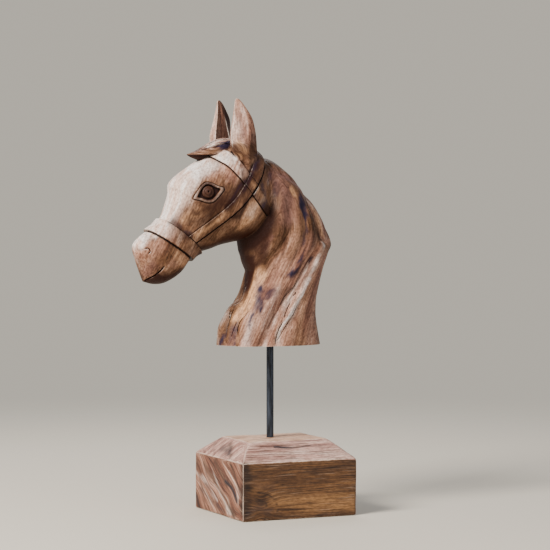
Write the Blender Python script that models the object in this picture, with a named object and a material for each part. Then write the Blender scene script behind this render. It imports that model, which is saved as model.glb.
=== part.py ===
"""A horse head carved from one block of wood, held above a chamfered wooden plinth by a steel rod.

Metres, +Z up. The origin is the centre of the plinth's underside. The horse faces -X, its left side to -Y.
The carving is drawn in its own frame, in drawn millimetres: the origin is where the rod enters the flat
underside of the neck, x runs towards the back of the neck, y across the head and z up. The drawing is of a
carving DRAWN_HEIGHT tall, and the real one follows HEAD_HEIGHT.
"""

import math

import bmesh
import bpy
import numpy as np
from mathutils import Vector
from mathutils.bvhtree import BVHTree

# Plinth: a square block whose upper edges are cut back to a smaller flat top
PLINTH_LENGTH = 0.135
PLINTH_WIDTH = 0.132
PLINTH_HEIGHT = 0.082
CHAMFER_DROP = 0.0195
CHAMFER_RUN_X = 0.020
CHAMFER_RUN_Y = 0.031
PLINTH_EDGE_ROUND = 0.0012

# Rod: plain round steel bar, let into the plinth and into the neck
ROD_DIAMETER = 0.008
ROD_SHOWING = 0.102
ROD_DEPTH_IN_PLINTH = 0.040
ROD_DEPTH_IN_NECK = 0.055
ROD_SET_FORWARD = 0.006
ROD_SIDES = 24
FIT_GAP = 0.0003
BORE_OVERRUN = 0.01

# Carving
HEAD_HEIGHT = 0.267
DRAWN_HEIGHT = 267.0
STRAP_THICKNESS = 0.0019
CROSSING_THICKNESS = 0.0026
NOSEBAND_WIDTH = 0.0160
CHEEKPIECE_WIDTH = 0.0108
BROWBAND_WIDTH = 0.0145
EYEBALL_RADIUS = 0.0092
EYEBALL_PROUD = 0.0012
EYE_POCKET_DEPTH = 0.0022
LID_GROOVE_RADIUS = 0.0010
MOUTH_GROOVE_RADIUS = 0.0014
NOSTRIL_GROOVE_RADIUS = 0.0012
STRAND_GROOVE_RADIUS = 0.0009
GROOVE_END_SHARE = 0.4

# How finely the carving is faceted
HEAD_RINGS = 34
HEAD_SIDES = 32
NECK_RINGS = 30
NECK_SIDES = 46
EAR_RINGS = 11
EAR_FACET_STEPS = 3
FORELOCK_RINGS = 9
FORELOCK_SIDES = 16
GROOVE_SIDES = 5
SIDE_CROWDING = 0.12

SCALE = HEAD_HEIGHT / DRAWN_HEIGHT
NECK_UNDERSIDE = Vector((-ROD_SET_FORWARD, 0, PLINTH_HEIGHT + ROD_SHOWING))
ACROSS = 70.0

# Rings of the head, muzzle to the back of the skull. Each stands on a line from the bridge of the nose, the
# forehead or the poll down to the lip, chin or jaw:
# upper x, z, lower x, z, half width, squareness, how much wider above than below
HEAD_STATIONS = (
    (-160, 105, -149, 71, 4.0, 2.0, 0.00),
    (-159, 112, -137, 68, 15.0, 2.1, -0.02),
    (-152, 119, -124, 70, 20.5, 2.2, -0.04),
    (-142, 126, -108, 80, 23.5, 2.3, -0.04),
    (-134, 131, -97, 94, 24.0, 2.4, 0.00),
    (-127, 140, -88, 101, 24.5, 2.4, 0.02),
    (-121, 154, -74, 105, 27.0, 2.4, 0.05),
    (-117, 167, -62, 109, 31.0, 2.3, 0.08),
    (-116, 176, -50, 112, 34.0, 2.3, 0.10),
    (-107, 186, -37, 115, 36.0, 2.3, 0.08),
    (-96, 195, -24, 121, 36.5, 2.3, 0.04),
    (-84, 203, -13, 131, 36.0, 2.3, 0.00),
    (-70, 211, -4, 144, 35.0, 2.3, -0.04),
    (-55, 217, 0, 160, 32.5, 2.2, -0.06),
    (-40, 218, -3, 178, 28.0, 2.1, -0.06),
    (-27, 214, -10, 192, 19.0, 2.0, 0.00),
)

# Swellings and hollows of the head: x, distance from the middle, z, reach, height
HEAD_SWELLS = (
    (-93, 33, 181, 13, 2.6),
    (-87, 36, 167, 17, -1.4),
    (-26, 36, 138, 26, 3.0),
    (-76, 27, 133, 20, -2.0),
    (-150, 14, 106, 9, 2.2),
    (-118, 0, 177, 12, 1.5),
)

# Rings of the neck, underside to poll: throat x, z, crest x, z, half width, squareness, how much wider behind
NECK_STATIONS = (
    (-61, 0, 56, 0, 40.0, 2.3, -0.05),
    (-59, 18, 53, 16, 38.0, 2.3, -0.05),
    (-54, 31, 51, 34, 35.5, 2.3, -0.05),
    (-46, 43, 52, 50, 33.5, 2.3, -0.06),
    (-38, 53, 55, 66, 32.5, 2.3, -0.08),
    (-33, 66, 60, 84, 32.0, 2.3, -0.10),
    (-31, 79, 66, 100, 32.5, 2.2, -0.14),
    (-33, 93, 70, 111, 33.0, 2.2, -0.18),
    (-37, 106, 63, 127, 33.5, 2.2, -0.20),
    (-38, 120, 53.5, 143, 34.0, 2.2, -0.22),
    (-37, 136, 40.5, 162, 33.0, 2.2, -0.22),
    (-36, 155, 25, 181, 32.0, 2.2, -0.20),
    (-38, 172, 11, 192.5, 30.0, 2.1, -0.16),
    (-42, 190, -3, 202, 26.0, 2.0, -0.10),
    (-45, 199, -17, 207, 20.0, 2.0, 0.00),
)

# Furrows between the twisted folds down each side of the neck, and along the step that marks off the crest:
# points x, z, then width and depth
NECK_FOLDS = (
    (((38, 96), (26, 77), (13, 60), (2, 48), (-14, 23), (-25, -2)), 12.0, 4.2),
    (((40, 86), (24, 66), (7, 44), (-4, 20), (-9, -2)), 8.0, 2.6),
    (((-26, 88), (-37, 60), (-43, 36), (-50, 18), (-54, -2)), 11.0, 4.2),
    (((12, 160), (14, 132), (4, 106), (-14, 84)), 15.0, 2.6),
)
CREST_STEP = (((-18, 206), (-2, 190), (28, 173), (38, 150), (54, 114)), 9.0, 2.8)

# Ear, base to tip. Each level has five corners, x and distance from the middle: front inside, front outside,
# outer ridge, back and back inside
EAR_LEVELS = (
    (186, (-42, 18), (-43, 27), (-35, 30), (-28, 28), (-30, 18)),
    (200, (-50, 19), (-51, 29), (-40, 35), (-29.5, 32), (-33, 20)),
    (212, (-55, 19.5), (-57, 30), (-41, 37.5), (-30.5, 34), (-36, 21)),
    (227, (-56, 20), (-59, 30), (-40, 38), (-31.5, 34), (-38.5, 22)),
    (238, (-55, 20.5), (-57, 29), (-40.5, 35.5), (-32.8, 32.3), (-41, 22.5)),
    (247, (-53.7, 21), (-55, 28), (-41.7, 32.5), (-34.8, 30), (-43, 23)),
    (256, (-52.8, 22), (-53.8, 26), (-43.2, 29), (-39.8, 28), (-46.8, 24)),
    (263, (-51.3, 23.3), (-51.6, 25.2), (-47, 26.3), (-45.3, 26), (-48.8, 24.4)),
    (267, (-50.2, 24.4), (-50.3, 24.9), (-49.6, 25.1), (-49.3, 25), (-49.8, 24.6)),
)
EAR_HOLLOW = 0.22

# Forelock, from between the ears to its tip on the forehead: x, z of its top, half width, thickness
FORELOCK_STATIONS = (
    (-32, 217, 8.0, 12.0),
    (-46, 224, 12.0, 20.0),
    (-58, 225, 16.0, 24.0),
    (-70, 220, 18.0, 22.0),
    (-78, 215.5, 15.5, 16.5),
    (-86, 210.5, 10.0, 12.0),
    (-92, 207, 4.5, 7.5),
    (-95.5, 205, 1.0, 1.6),
)
# Grooves between its strands: x and distance from the middle, back to front
STRAND_LINES = (
    ((-52, -7), (-66, -6), (-78, -4.5), (-88, -2)),
    ((-50, 4), (-64, 5), (-76, 6), (-85, 4)),
    ((-54, -14), (-66, -13.5), (-76, -11)),
)

# Bridle, drawn from the side: points x, z and width as a share of the strap's own width
NOSEBAND_LINE = ((-143, 136, 1.14), (-126, 123, 1.06), (-108, 110, 0.95), (-85, 93, 0.76))
CHEEKPIECE_LINE = (
    (-112, 109, 0.95),
    (-90, 124.5, 1.0),
    (-74, 137, 1.0),
    (-55, 154, 1.05),
    (-42, 170, 1.15),
    (-32, 186, 1.25),
    (-26, 200, 1.25),
    (-22, 216, 1.2),
)
BROWBAND_LINE = (
    (-80, 220, 1.1),
    (-68, 208, 1.08),
    (-58, 200, 1.0),
    (-47, 186, 0.82),
    (-37, 173, 0.78),
    (-28, 161, 0.72),
    (-19, 149, 0.55),
    (-14, 142, 0.2),
)

# Eye, mouth and nostril, drawn from the side: points x, z
EYE_CENTRE = (-87, 167)
LID_OUTLINE = (
    (-103.5, 159.5),
    (-98, 170),
    (-91, 177),
    (-83.5, 177),
    (-76, 173.5),
    (-68.5, 170.5),
    (-74, 163),
    (-81, 156),
    (-88, 154.5),
    (-96, 157),
)
LID_SHARE_INSIDE = 0.72
MOUTH_LINE = ((-154, 68.5), (-148, 72), (-141.5, 77), (-136, 82.5), (-132, 88))
NOSTRIL_LINE = ((-153.5, 106.5), (-149.5, 106.8), (-147.8, 103.5), (-150, 100.8))


def clear_scene():
    for obj in list(bpy.data.objects):
        bpy.data.objects.remove(obj, do_unlink=True)


def wood_or_steel(name, colour, roughness, metallic=0.0):
    """A plain material with one colour."""
    made = bpy.data.materials.new(name)
    made.use_nodes = True
    shader = made.node_tree.nodes["Principled BSDF"]
    shader.inputs["Base Color"].default_value = (*colour, 1.0)
    shader.inputs["Roughness"].default_value = roughness
    shader.inputs["Metallic"].default_value = metallic
    return made


def object_from(name, bm):
    """A new object from a finished bmesh, with its faces pointing out."""
    bmesh.ops.recalc_face_normals(bm, faces=bm.faces)
    mesh = bpy.data.meshes.new(name)
    bm.to_mesh(mesh)
    bm.free()
    obj = bpy.data.objects.new(name, mesh)
    bpy.context.scene.collection.objects.link(obj)
    return obj


def combine(obj, operation, tool):
    """Applies a Boolean of the tool to the object, and removes the tool.

    The carving's thin cuts cross at shallow angles, where the exact solver leaves open edges.
    """
    modifier = obj.modifiers.new(operation.lower(), "BOOLEAN")
    modifier.operation = operation
    modifier.solver = "MANIFOLD"
    modifier.object = tool
    graph = bpy.context.evaluated_depsgraph_get()
    mesh = bpy.data.meshes.new_from_object(obj.evaluated_get(graph))
    obj.modifiers.remove(modifier)
    obj.data = mesh
    bpy.data.objects.remove(tool, do_unlink=True)


def copy_of(obj, name):
    """A second object with a mesh of its own."""
    twin = bpy.data.objects.new(name, obj.data.copy())
    bpy.context.scene.collection.objects.link(twin)
    return twin


def curve_through(rows, count):
    """Catmull-Rom curve through the rows, read at count even steps."""
    rows = np.array(rows, float)
    padded = np.vstack([2 * rows[0] - rows[1], rows, 2 * rows[-1] - rows[-2]])
    places = np.linspace(0, len(rows) - 1, count)
    first = np.minimum(places.astype(int), len(rows) - 2)
    t = (places - first)[:, None]
    a, b, c, d = (padded[first + k] for k in range(4))
    return 0.5 * (2 * b + (c - a) * t + (2 * a - 5 * b + 4 * c - d) * t**2 + (3 * b - a - 3 * c + d) * t**3)


def signed_power(values, power):
    return np.sign(values) * np.abs(values) ** power


def body_ring(station, sides):
    """One ring of the head or neck, in the plane through its two middle points and the y axis."""
    upper_x, upper_z, lower_x, lower_z, half_width, squareness, wider_above = station
    turn = np.linspace(0, 2 * math.pi, sides, endpoint=False)
    turn = turn + SIDE_CROWDING * np.sin(2 * turn)
    along = signed_power(np.cos(turn), 2 / squareness)
    across = signed_power(np.sin(turn), 2 / squareness)
    x = (upper_x + lower_x) / 2 + (upper_x - lower_x) / 2 * along
    z = (upper_z + lower_z) / 2 + (upper_z - lower_z) / 2 * along
    y = half_width * across * (1 + wider_above * along)
    return np.stack([x, y, z], axis=1)


def skin(name, rings):
    """A closed solid through rings of drawn points that all have the same count."""
    bm = bmesh.new()
    rows = [[bm.verts.new(point * SCALE) for point in ring] for ring in rings]
    sides = len(rows[0])
    for low, high in zip(rows, rows[1:]):
        for k in range(sides):
            n = (k + 1) % sides
            bm.faces.new((low[k], low[n], high[n], high[k]))
    bm.faces.new(rows[0][::-1])
    bm.faces.new(rows[-1])
    return object_from(name, bm)


def drawn_points(obj):
    flat = np.empty(len(obj.data.vertices) * 3, np.float32)
    obj.data.vertices.foreach_get("co", flat)
    return flat.reshape(-1, 3).astype(float) / SCALE


def vertex_normals(obj):
    return np.array([vertex.normal[:] for vertex in obj.data.vertices])


def push(obj, heights):
    """Moves each vertex along its normal by its height, in drawn millimetres."""
    moved = drawn_points(obj) + vertex_normals(obj) * np.asarray(heights)[:, None]
    obj.data.vertices.foreach_set("co", (moved * SCALE).astype(np.float32).ravel())
    obj.data.update()


def swell_heights(points, swells):
    """Round swellings and hollows, the same on both sides of the head."""
    total = np.zeros(len(points))
    for x, aside, z, reach, height in swells:
        away = (points[:, 0] - x) ** 2 + (np.abs(points[:, 1]) - aside) ** 2 + (points[:, 2] - z) ** 2
        total += height * np.exp(-away / reach**2)
    return total


def distance_to_line(points, line):
    """Distance of each x, z point from the nearest stretch of a line."""
    nearest = np.full(len(points), np.inf)
    for start, end in zip(line, line[1:]):
        run = end - start
        share = np.clip((points - start) @ run / (run @ run), 0, 1)
        gap = points - (start + share[:, None] * run)
        nearest = np.minimum(nearest, np.hypot(gap[:, 0], gap[:, 1]))
    return nearest


def fold_heights(points):
    """V-shaped furrows, the same on both sides of the neck."""
    side_view = points[:, [0, 2]]
    total = np.zeros(len(points))
    for line, width, depth in (*NECK_FOLDS, CREST_STEP):
        distance = distance_to_line(side_view, curve_through(line, 14))
        total -= depth * np.clip(1 - distance / width, 0, 1) ** 1.5
    return total


def ear_ring(level, side):
    """One level ring of an ear: straight between its corners, with a hollow in the face to the other ear."""
    z, corners = level[0], level[1:].reshape(-1, 2)
    depth = EAR_HOLLOW * np.linalg.norm(corners[0] - corners[-1])
    points = []
    for start, end, hollow in zip(corners, np.roll(corners, -1, axis=0), (0, 0, 0, 0, depth)):
        for share in np.linspace(0, 1, EAR_FACET_STEPS, endpoint=False):
            x, y = start + (end - start) * share
            points.append((x, side * (y + hollow * math.sin(math.pi * share)), z))
    return np.array(points)


def ear(name, side):
    levels = [[z, *np.ravel(corners)] for z, *corners in EAR_LEVELS]
    return skin(name, [ear_ring(level, side) for level in curve_through(levels, EAR_RINGS)])


def forelock():
    """A tongue of hair that lies on the forehead and ends in a point."""
    stations = curve_through(FORELOCK_STATIONS, FORELOCK_RINGS)
    turn = np.linspace(0, 2 * math.pi, FORELOCK_SIDES, endpoint=False)
    rings = []
    for x, top, half_width, thickness in stations:
        up = np.where(np.cos(turn) > 0, np.cos(turn), -1)
        z = top - thickness / 2 + thickness / 2 * up
        rings.append(np.stack([np.full(FORELOCK_SIDES, x), half_width * np.sin(turn), z], axis=1))
    return skin("forelock", rings)


def prism(name, outline):
    """An outline drawn from the side, carried right across the head."""
    bm = bmesh.new()
    face = bm.faces.new([bm.verts.new((x * SCALE, -ACROSS * SCALE, z * SCALE)) for x, z in outline])
    made = bmesh.ops.extrude_face_region(bm, geom=[face])["geom"]
    corners = [item for item in made if isinstance(item, bmesh.types.BMVert)]
    bmesh.ops.translate(bm, verts=corners, vec=(0, 2 * ACROSS * SCALE, 0))
    return object_from(name, bm)


def ribbon_outline(line, width, steps):
    """The outline of a strap: its middle line set out to both sides by half its width."""
    rows = curve_through(line, steps)
    run = np.gradient(rows[:, :2], axis=0)
    normal = np.stack([-run[:, 1], run[:, 0]], axis=1) / np.hypot(run[:, 0], run[:, 1])[:, None]
    half = rows[:, 2:3] * width / SCALE / 2
    return np.vstack([rows[:, :2] + normal * half, (rows[:, :2] - normal * half)[::-1]])


def strap(name, form, outline, thickness):
    """The part of the form, made thicker all over, that lies within the strap's outline."""
    band = copy_of(form, name)
    push(band, np.full(len(band.data.vertices), thickness / SCALE))
    combine(band, "INTERSECT", prism(name + "_outline", outline))
    return band


def seen_from(tree, starts, direction):
    """Points and normals where straight lines of sight from the drawn points first meet the surface."""
    hits = [tree.ray_cast(Vector(start) * SCALE, Vector(direction)) for start in starts]
    return [(point, normal) for point, normal, _, _ in hits if point is not None]


def on_surface(tree, line, side):
    """Where a line drawn from the side, x and z, lies on one side of the head."""
    return seen_from(tree, [(x, side * ACROSS, z) for x, z in line], (0, -side, 0))


def on_top(tree, line):
    """Where a line drawn from above, x and y, lies on the head."""
    return seen_from(tree, [(x, y, DRAWN_HEIGHT) for x, y in line], (0, 0, -1))


def groove_tool(name, places, radius, closed=False):
    """A round tube along the surface, which cuts a groove half as deep as it is wide."""
    bm = bmesh.new()
    rows = []
    count = len(places)
    for i, (point, normal) in enumerate(places):
        before = places[(i - 1) % count if closed else max(i - 1, 0)][0]
        after = places[(i + 1) % count if closed else min(i + 1, count - 1)][0]
        run = (after - before).normalized()
        aside = run.cross(normal).normalized()
        out = aside.cross(run).normalized()
        fullness = 1.0 if closed else math.sin(math.pi * (i + 0.5) / count)
        thickness = radius * max(fullness, GROOVE_END_SHARE)
        row = []
        for k in range(GROOVE_SIDES):
            turn = 2 * math.pi * k / GROOVE_SIDES
            spoke = aside * math.cos(turn) + out * math.sin(turn)
            row.append(bm.verts.new(point + spoke * thickness))
        rows.append(row)
    if closed:
        rows.append(rows[0])
    for low, high in zip(rows, rows[1:]):
        for k in range(GROOVE_SIDES):
            n = (k + 1) % GROOVE_SIDES
            bm.faces.new((low[k], low[n], high[n], high[k]))
    if not closed:
        bm.faces.new(rows[0][::-1])
        bm.faces.new(rows[-1])
    return object_from(name, bm)


def surface_tree(obj):
    return BVHTree.FromObject(obj, bpy.context.evaluated_depsgraph_get())


def inner_outline(outline, centre, share):
    """An outline drawn in towards a centre."""
    return [tuple(centre[k] + (point[k] - centre[k]) * share for k in range(2)) for point in outline]


def closed_line(outline, steps):
    """A smooth closed outline, for a list of corner points."""
    count = len(outline)
    wrapped = [outline[-1], *outline, outline[0], outline[1]]
    rows = curve_through(wrapped, steps * (count + 2) + 1)
    return rows[steps:-steps - 1]


def eye(head, form, side):
    """Cuts an almond pocket into the head, sets a round eyeball in it and cuts a groove round the lids."""
    pocket = prism("eye_pocket", closed_line(inner_outline(LID_OUTLINE, EYE_CENTRE, LID_SHARE_INSIDE), 2))
    for vertex in pocket.data.vertices:
        if vertex.co.y * side < 0:
            vertex.co.y = 0
    floor = copy_of(form, "pocket_floor")
    push(floor, np.full(len(floor.data.vertices), -EYE_POCKET_DEPTH / SCALE))
    combine(pocket, "DIFFERENCE", floor)
    combine(head, "DIFFERENCE", pocket)
    tree = surface_tree(form)
    point, normal = on_surface(tree, [EYE_CENTRE], side)[0]
    bm = bmesh.new()
    bmesh.ops.create_uvsphere(bm, u_segments=14, v_segments=8, radius=EYEBALL_RADIUS)
    ball = object_from("eyeball", bm)
    ball.data.transform(normal.to_track_quat("Z", "Y").to_matrix().to_4x4())
    centre = point - normal * (EYEBALL_RADIUS - EYEBALL_PROUD)
    for vertex in ball.data.vertices:
        vertex.co += centre
    combine(head, "UNION", ball)
    lid = on_surface(tree, closed_line(LID_OUTLINE, 2), side)
    combine(head, "DIFFERENCE", groove_tool("lid_groove", lid, LID_GROOVE_RADIUS, closed=True))


def smooth_outside(obj, angle_deg):
    obj.data.shade_smooth()
    obj.data.set_sharp_from_angle(angle=math.radians(angle_deg))


def horse_head():
    skull = skin("skull", [body_ring(s, HEAD_SIDES) for s in curve_through(HEAD_STATIONS, HEAD_RINGS)])
    push(skull, swell_heights(drawn_points(skull), HEAD_SWELLS))
    neck = skin("neck", [body_ring(s, NECK_SIDES) for s in curve_through(NECK_STATIONS, NECK_RINGS)])
    push(neck, fold_heights(drawn_points(neck)))
    for vertex in neck.data.vertices:
        vertex.co.z = max(vertex.co.z, 0.0)

    straps = [
        strap("noseband", skull, ribbon_outline(NOSEBAND_LINE, NOSEBAND_WIDTH, 8), STRAP_THICKNESS),
        strap("browband", skull, ribbon_outline(BROWBAND_LINE, BROWBAND_WIDTH, 18), STRAP_THICKNESS),
        strap("cheekpiece", skull, ribbon_outline(CHEEKPIECE_LINE, CHEEKPIECE_WIDTH, 18), CROSSING_THICKNESS),
    ]
    head = copy_of(skull, "horse_head")
    combine(head, "UNION", neck)
    for band in straps:
        combine(head, "UNION", band)
    for tuft in (ear("left_ear", -1), ear("right_ear", 1), forelock()):
        combine(head, "UNION", tuft)
    hair = surface_tree(head)
    for line in STRAND_LINES:
        strand = on_top(hair, curve_through(line, 8))
        combine(head, "DIFFERENCE", groove_tool("strand", strand, STRAND_GROOVE_RADIUS))
    for side in (-1, 1):
        eye(head, skull, side)
        tree = surface_tree(skull)
        lips = on_surface(tree, curve_through(MOUTH_LINE, 9), side)
        combine(head, "DIFFERENCE", groove_tool("mouth", lips, MOUTH_GROOVE_RADIUS))
        comma = on_surface(tree, curve_through(NOSTRIL_LINE, 7), side)
        combine(head, "DIFFERENCE", groove_tool("nostril", comma, NOSTRIL_GROOVE_RADIUS))
    bpy.data.objects.remove(skull, do_unlink=True)

    depth = ROD_DEPTH_IN_NECK + FIT_GAP
    combine(head, "DIFFERENCE", cylinder("neck_bore", ROD_DIAMETER / 2 + FIT_GAP, -BORE_OVERRUN, depth))
    head.location = NECK_UNDERSIDE
    smooth_outside(head, 38)
    return head


def cylinder(name, radius, low, high):
    """An upright cylinder on the local z axis."""
    bm = bmesh.new()
    bmesh.ops.create_cone(
        bm, cap_ends=True, segments=ROD_SIDES, radius1=radius, radius2=radius, depth=high - low
    )
    bmesh.ops.translate(bm, verts=bm.verts, vec=(0, 0, (low + high) / 2))
    return object_from(name, bm)


def support_rod():
    low = PLINTH_HEIGHT - ROD_DEPTH_IN_PLINTH
    rod = cylinder("support_rod", ROD_DIAMETER / 2, low, NECK_UNDERSIDE.z + ROD_DEPTH_IN_NECK)
    rod.location.x = NECK_UNDERSIDE.x
    smooth_outside(rod, 40)
    return rod


def plinth():
    """Three rectangles: the underside, the chamfer's lower edge and the flat top."""
    half_length, half_width = PLINTH_LENGTH / 2, PLINTH_WIDTH / 2
    levels = (
        (0.0, half_length, half_width),
        (PLINTH_HEIGHT - CHAMFER_DROP, half_length, half_width),
        (PLINTH_HEIGHT, half_length - CHAMFER_RUN_X, half_width - CHAMFER_RUN_Y),
    )
    corners = ((-1, -1), (1, -1), (1, 1), (-1, 1))
    bm = bmesh.new()
    rows = [[bm.verts.new((i * x, j * y, z)) for i, j in corners] for z, x, y in levels]
    for low, high in zip(rows, rows[1:]):
        for k in range(4):
            n = (k + 1) % 4
            bm.faces.new((low[k], low[n], high[n], high[k]))
    bm.faces.new(rows[0][::-1])
    bm.faces.new(rows[-1])
    bmesh.ops.bevel(bm, geom=bm.edges[:], offset=PLINTH_EDGE_ROUND, segments=2, profile=0.5, affect="EDGES")
    block = object_from("plinth", bm)
    low = PLINTH_HEIGHT - ROD_DEPTH_IN_PLINTH - FIT_GAP
    bore = cylinder("plinth_bore", ROD_DIAMETER / 2 + FIT_GAP, low, PLINTH_HEIGHT + BORE_OVERRUN)
    for vertex in bore.data.vertices:
        vertex.co.x += NECK_UNDERSIDE.x
    combine(block, "DIFFERENCE", bore)
    smooth_outside(block, 40)
    return block


def main():
    clear_scene()
    carved_wood = wood_or_steel("carved_wood", (0.36, 0.20, 0.12), 0.55)
    plinth_wood = wood_or_steel("plinth_wood", (0.30, 0.17, 0.10), 0.65)
    blackened_steel = wood_or_steel("blackened_steel", (0.03, 0.03, 0.035), 0.4, metallic=0.9)
    for obj, finish in (
        (horse_head(), carved_wood),
        (support_rod(), blackened_steel),
        (plinth(), plinth_wood),
    ):
        obj.data.materials.clear()
        obj.data.materials.append(finish)


main()
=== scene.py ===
"""Looks of a carved wooden horse head on a steel rod and a chamfered wooden plinth.

The carving is drawn in its own frame, in drawn millimetres: the origin is where the rod enters the flat
underside of the neck, x runs towards the back of the neck, y across the head and z up. The horse faces -X
and its left side faces -Y. The drawing is of a carving DRAWN_HEIGHT tall, and follows the frame's.
"""

import math
from types import SimpleNamespace

import bmesh
import bpy
import numpy as np
from mathutils import Matrix, Vector, noise
from mathutils.bvhtree import BVHTree


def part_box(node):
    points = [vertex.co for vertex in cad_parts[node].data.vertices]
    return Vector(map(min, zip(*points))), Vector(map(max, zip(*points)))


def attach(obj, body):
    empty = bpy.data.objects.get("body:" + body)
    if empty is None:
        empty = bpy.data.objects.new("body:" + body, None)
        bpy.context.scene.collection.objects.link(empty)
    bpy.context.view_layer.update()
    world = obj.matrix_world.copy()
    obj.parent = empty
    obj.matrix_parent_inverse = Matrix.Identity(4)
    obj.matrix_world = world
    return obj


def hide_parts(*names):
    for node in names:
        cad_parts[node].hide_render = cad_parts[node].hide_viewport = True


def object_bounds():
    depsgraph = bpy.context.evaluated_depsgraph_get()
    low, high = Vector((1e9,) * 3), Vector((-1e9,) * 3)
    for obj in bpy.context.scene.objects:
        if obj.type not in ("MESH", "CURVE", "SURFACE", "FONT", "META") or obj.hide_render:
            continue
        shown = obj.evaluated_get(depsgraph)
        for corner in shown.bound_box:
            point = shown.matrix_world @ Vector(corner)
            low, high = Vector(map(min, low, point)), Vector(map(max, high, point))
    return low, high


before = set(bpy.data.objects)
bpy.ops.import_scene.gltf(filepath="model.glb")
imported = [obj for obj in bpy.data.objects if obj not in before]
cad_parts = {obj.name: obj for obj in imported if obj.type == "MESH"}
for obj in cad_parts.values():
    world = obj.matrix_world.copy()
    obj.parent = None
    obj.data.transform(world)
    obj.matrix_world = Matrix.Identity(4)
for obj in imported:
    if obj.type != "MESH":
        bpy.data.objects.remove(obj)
cad_low, cad_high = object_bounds()
MM = 0.001

# Sizes that come from the frame
head_low, head_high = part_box("horse_head")
rod_low, rod_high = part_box("support_rod")
plinth_low, plinth_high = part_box("plinth")
DRAWN_HEIGHT = 267.0
SCALE = (head_high.z - head_low.z) / DRAWN_HEIGHT
ROD_CENTRE = (rod_low + rod_high) / 2
ROD_RADIUS = (rod_high.x - rod_low.x) / 2
NECK_UNDERSIDE = Vector((ROD_CENTRE.x, ROD_CENTRE.y, head_low.z))
FIT_GAP = 0.3 * MM

# Rings of the head, muzzle to the back of the skull. Each stands on a line from the bridge of the nose, the
# forehead or the poll down to the lip, chin or jaw:
# upper x, z, lower x, z, half width, squareness, how much wider above than below
HEAD_STATIONS = (
    (-160, 105, -149, 71, 4.0, 2.0, 0.00),
    (-159, 112, -137, 68, 15.0, 2.1, -0.02),
    (-152, 119, -124, 70, 20.5, 2.2, -0.04),
    (-142, 126, -108, 80, 23.5, 2.3, -0.04),
    (-134, 131, -97, 94, 24.0, 2.4, 0.00),
    (-127, 140, -88, 101, 24.5, 2.4, 0.02),
    (-121, 154, -74, 105, 27.0, 2.4, 0.05),
    (-117, 167, -62, 109, 31.0, 2.3, 0.08),
    (-116, 176, -50, 112, 34.0, 2.3, 0.10),
    (-107.5, 185, -37, 115, 36.0, 2.3, 0.08),
    (-96, 193.5, -24, 121, 36.5, 2.3, 0.04),
    (-84, 201, -13, 131, 36.0, 2.3, 0.00),
    (-70, 209.5, -4, 144, 35.0, 2.3, -0.04),
    (-55, 217, 0, 160, 32.5, 2.2, -0.06),
    (-40, 218, -3, 178, 28.0, 2.1, -0.06),
    (-27, 214, -10, 192, 19.0, 2.0, 0.00),
)
# Swellings and hollows of the head: x, distance from the middle, z, reach, height
HEAD_SWELLS = (
    (-93, 33, 181, 13, 2.6),
    (-87, 36, 167, 17, -1.4),
    (-26, 36, 138, 26, 3.0),
    (-76, 27, 133, 20, -2.0),
    (-150, 14, 106, 9, 2.2),
    (-118, 0, 177, 12, 1.5),
)
# Rings of the neck, underside to poll: throat x, z, crest x, z, half width, squareness, how much wider behind
NECK_STATIONS = (
    (-61, 0, 56, 0, 40.0, 2.3, -0.05),
    (-59, 18, 53, 16, 38.0, 2.3, -0.05),
    (-54, 31, 51, 34, 35.5, 2.3, -0.05),
    (-46, 43, 52, 50, 33.5, 2.3, -0.06),
    (-38, 53, 55, 66, 32.5, 2.3, -0.08),
    (-33, 66, 60, 84, 32.0, 2.3, -0.10),
    (-31, 79, 66, 100, 32.5, 2.2, -0.14),
    (-33, 93, 70, 111, 33.0, 2.2, -0.18),
    (-37, 106, 63, 127, 33.5, 2.2, -0.20),
    (-38, 120, 53.5, 143, 34.0, 2.2, -0.22),
    (-37, 136, 40.5, 162, 33.0, 2.2, -0.22),
    (-36, 155, 25, 181, 32.0, 2.2, -0.20),
    (-38, 172, 11, 192.5, 30.0, 2.1, -0.16),
    (-42, 190, -3, 202, 26.0, 2.0, -0.10),
    (-45, 199, -17, 207, 20.0, 2.0, 0.00),
)
# Furrows between the twisted folds down each side of the neck: points x, z, then width and depth
NECK_FOLDS = (
    (((38, 96), (26, 79), (14, 62), (3, 50), (-13, 25), (-25, -2)), 12.0, 4.0),
    (((40, 86), (24, 66), (7, 44), (-4, 20), (-9, -2)), 8.0, 2.0),
    (((-30, 80), (-37, 56), (-43, 36), (-50, 18), (-54, -2)), 11.0, 3.6),
    (((12, 160), (14, 132), (4, 106), (-14, 84)), 15.0, 2.6),
    (((-18, 206), (-2, 190), (28, 173), (38, 150), (54, 114)), 9.0, 2.8),
)
# Ear, base to tip. Each level has five corners, x and distance from the middle: front inside, front outside,
# outer ridge, back and back inside
EAR_LEVELS = (
    (186, (-42, 18), (-43, 27), (-35, 30), (-28, 28), (-30, 18)),
    (200, (-50, 19), (-51, 29), (-40, 35), (-29.5, 32), (-33, 20)),
    (212, (-55, 19.5), (-57, 30), (-41, 37.5), (-30.5, 34), (-36, 21)),
    (227, (-56, 20), (-59, 30), (-40, 38), (-31.5, 34), (-38.5, 22)),
    (238, (-55, 20.5), (-57, 29), (-40.5, 35.5), (-32.8, 32.3), (-41, 22.5)),
    (247, (-53.7, 21), (-55, 28), (-41.7, 32.5), (-34.8, 30), (-43, 23)),
    (256, (-52.8, 22), (-53.8, 26), (-43.2, 29), (-39.8, 28), (-46.8, 24)),
    (263, (-52.2, 23.1), (-52.8, 25.4), (-46.8, 26.8), (-44.6, 26.2), (-48.4, 24.2)),
    (266, (-51.6, 23.8), (-52, 25.3), (-49.2, 25.9), (-47.6, 25.6), (-49.2, 24.4)),
    (267, (-50.8, 24.2), (-51, 24.9), (-50, 25.2), (-49.1, 25), (-49.9, 24.5)),
)
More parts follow.
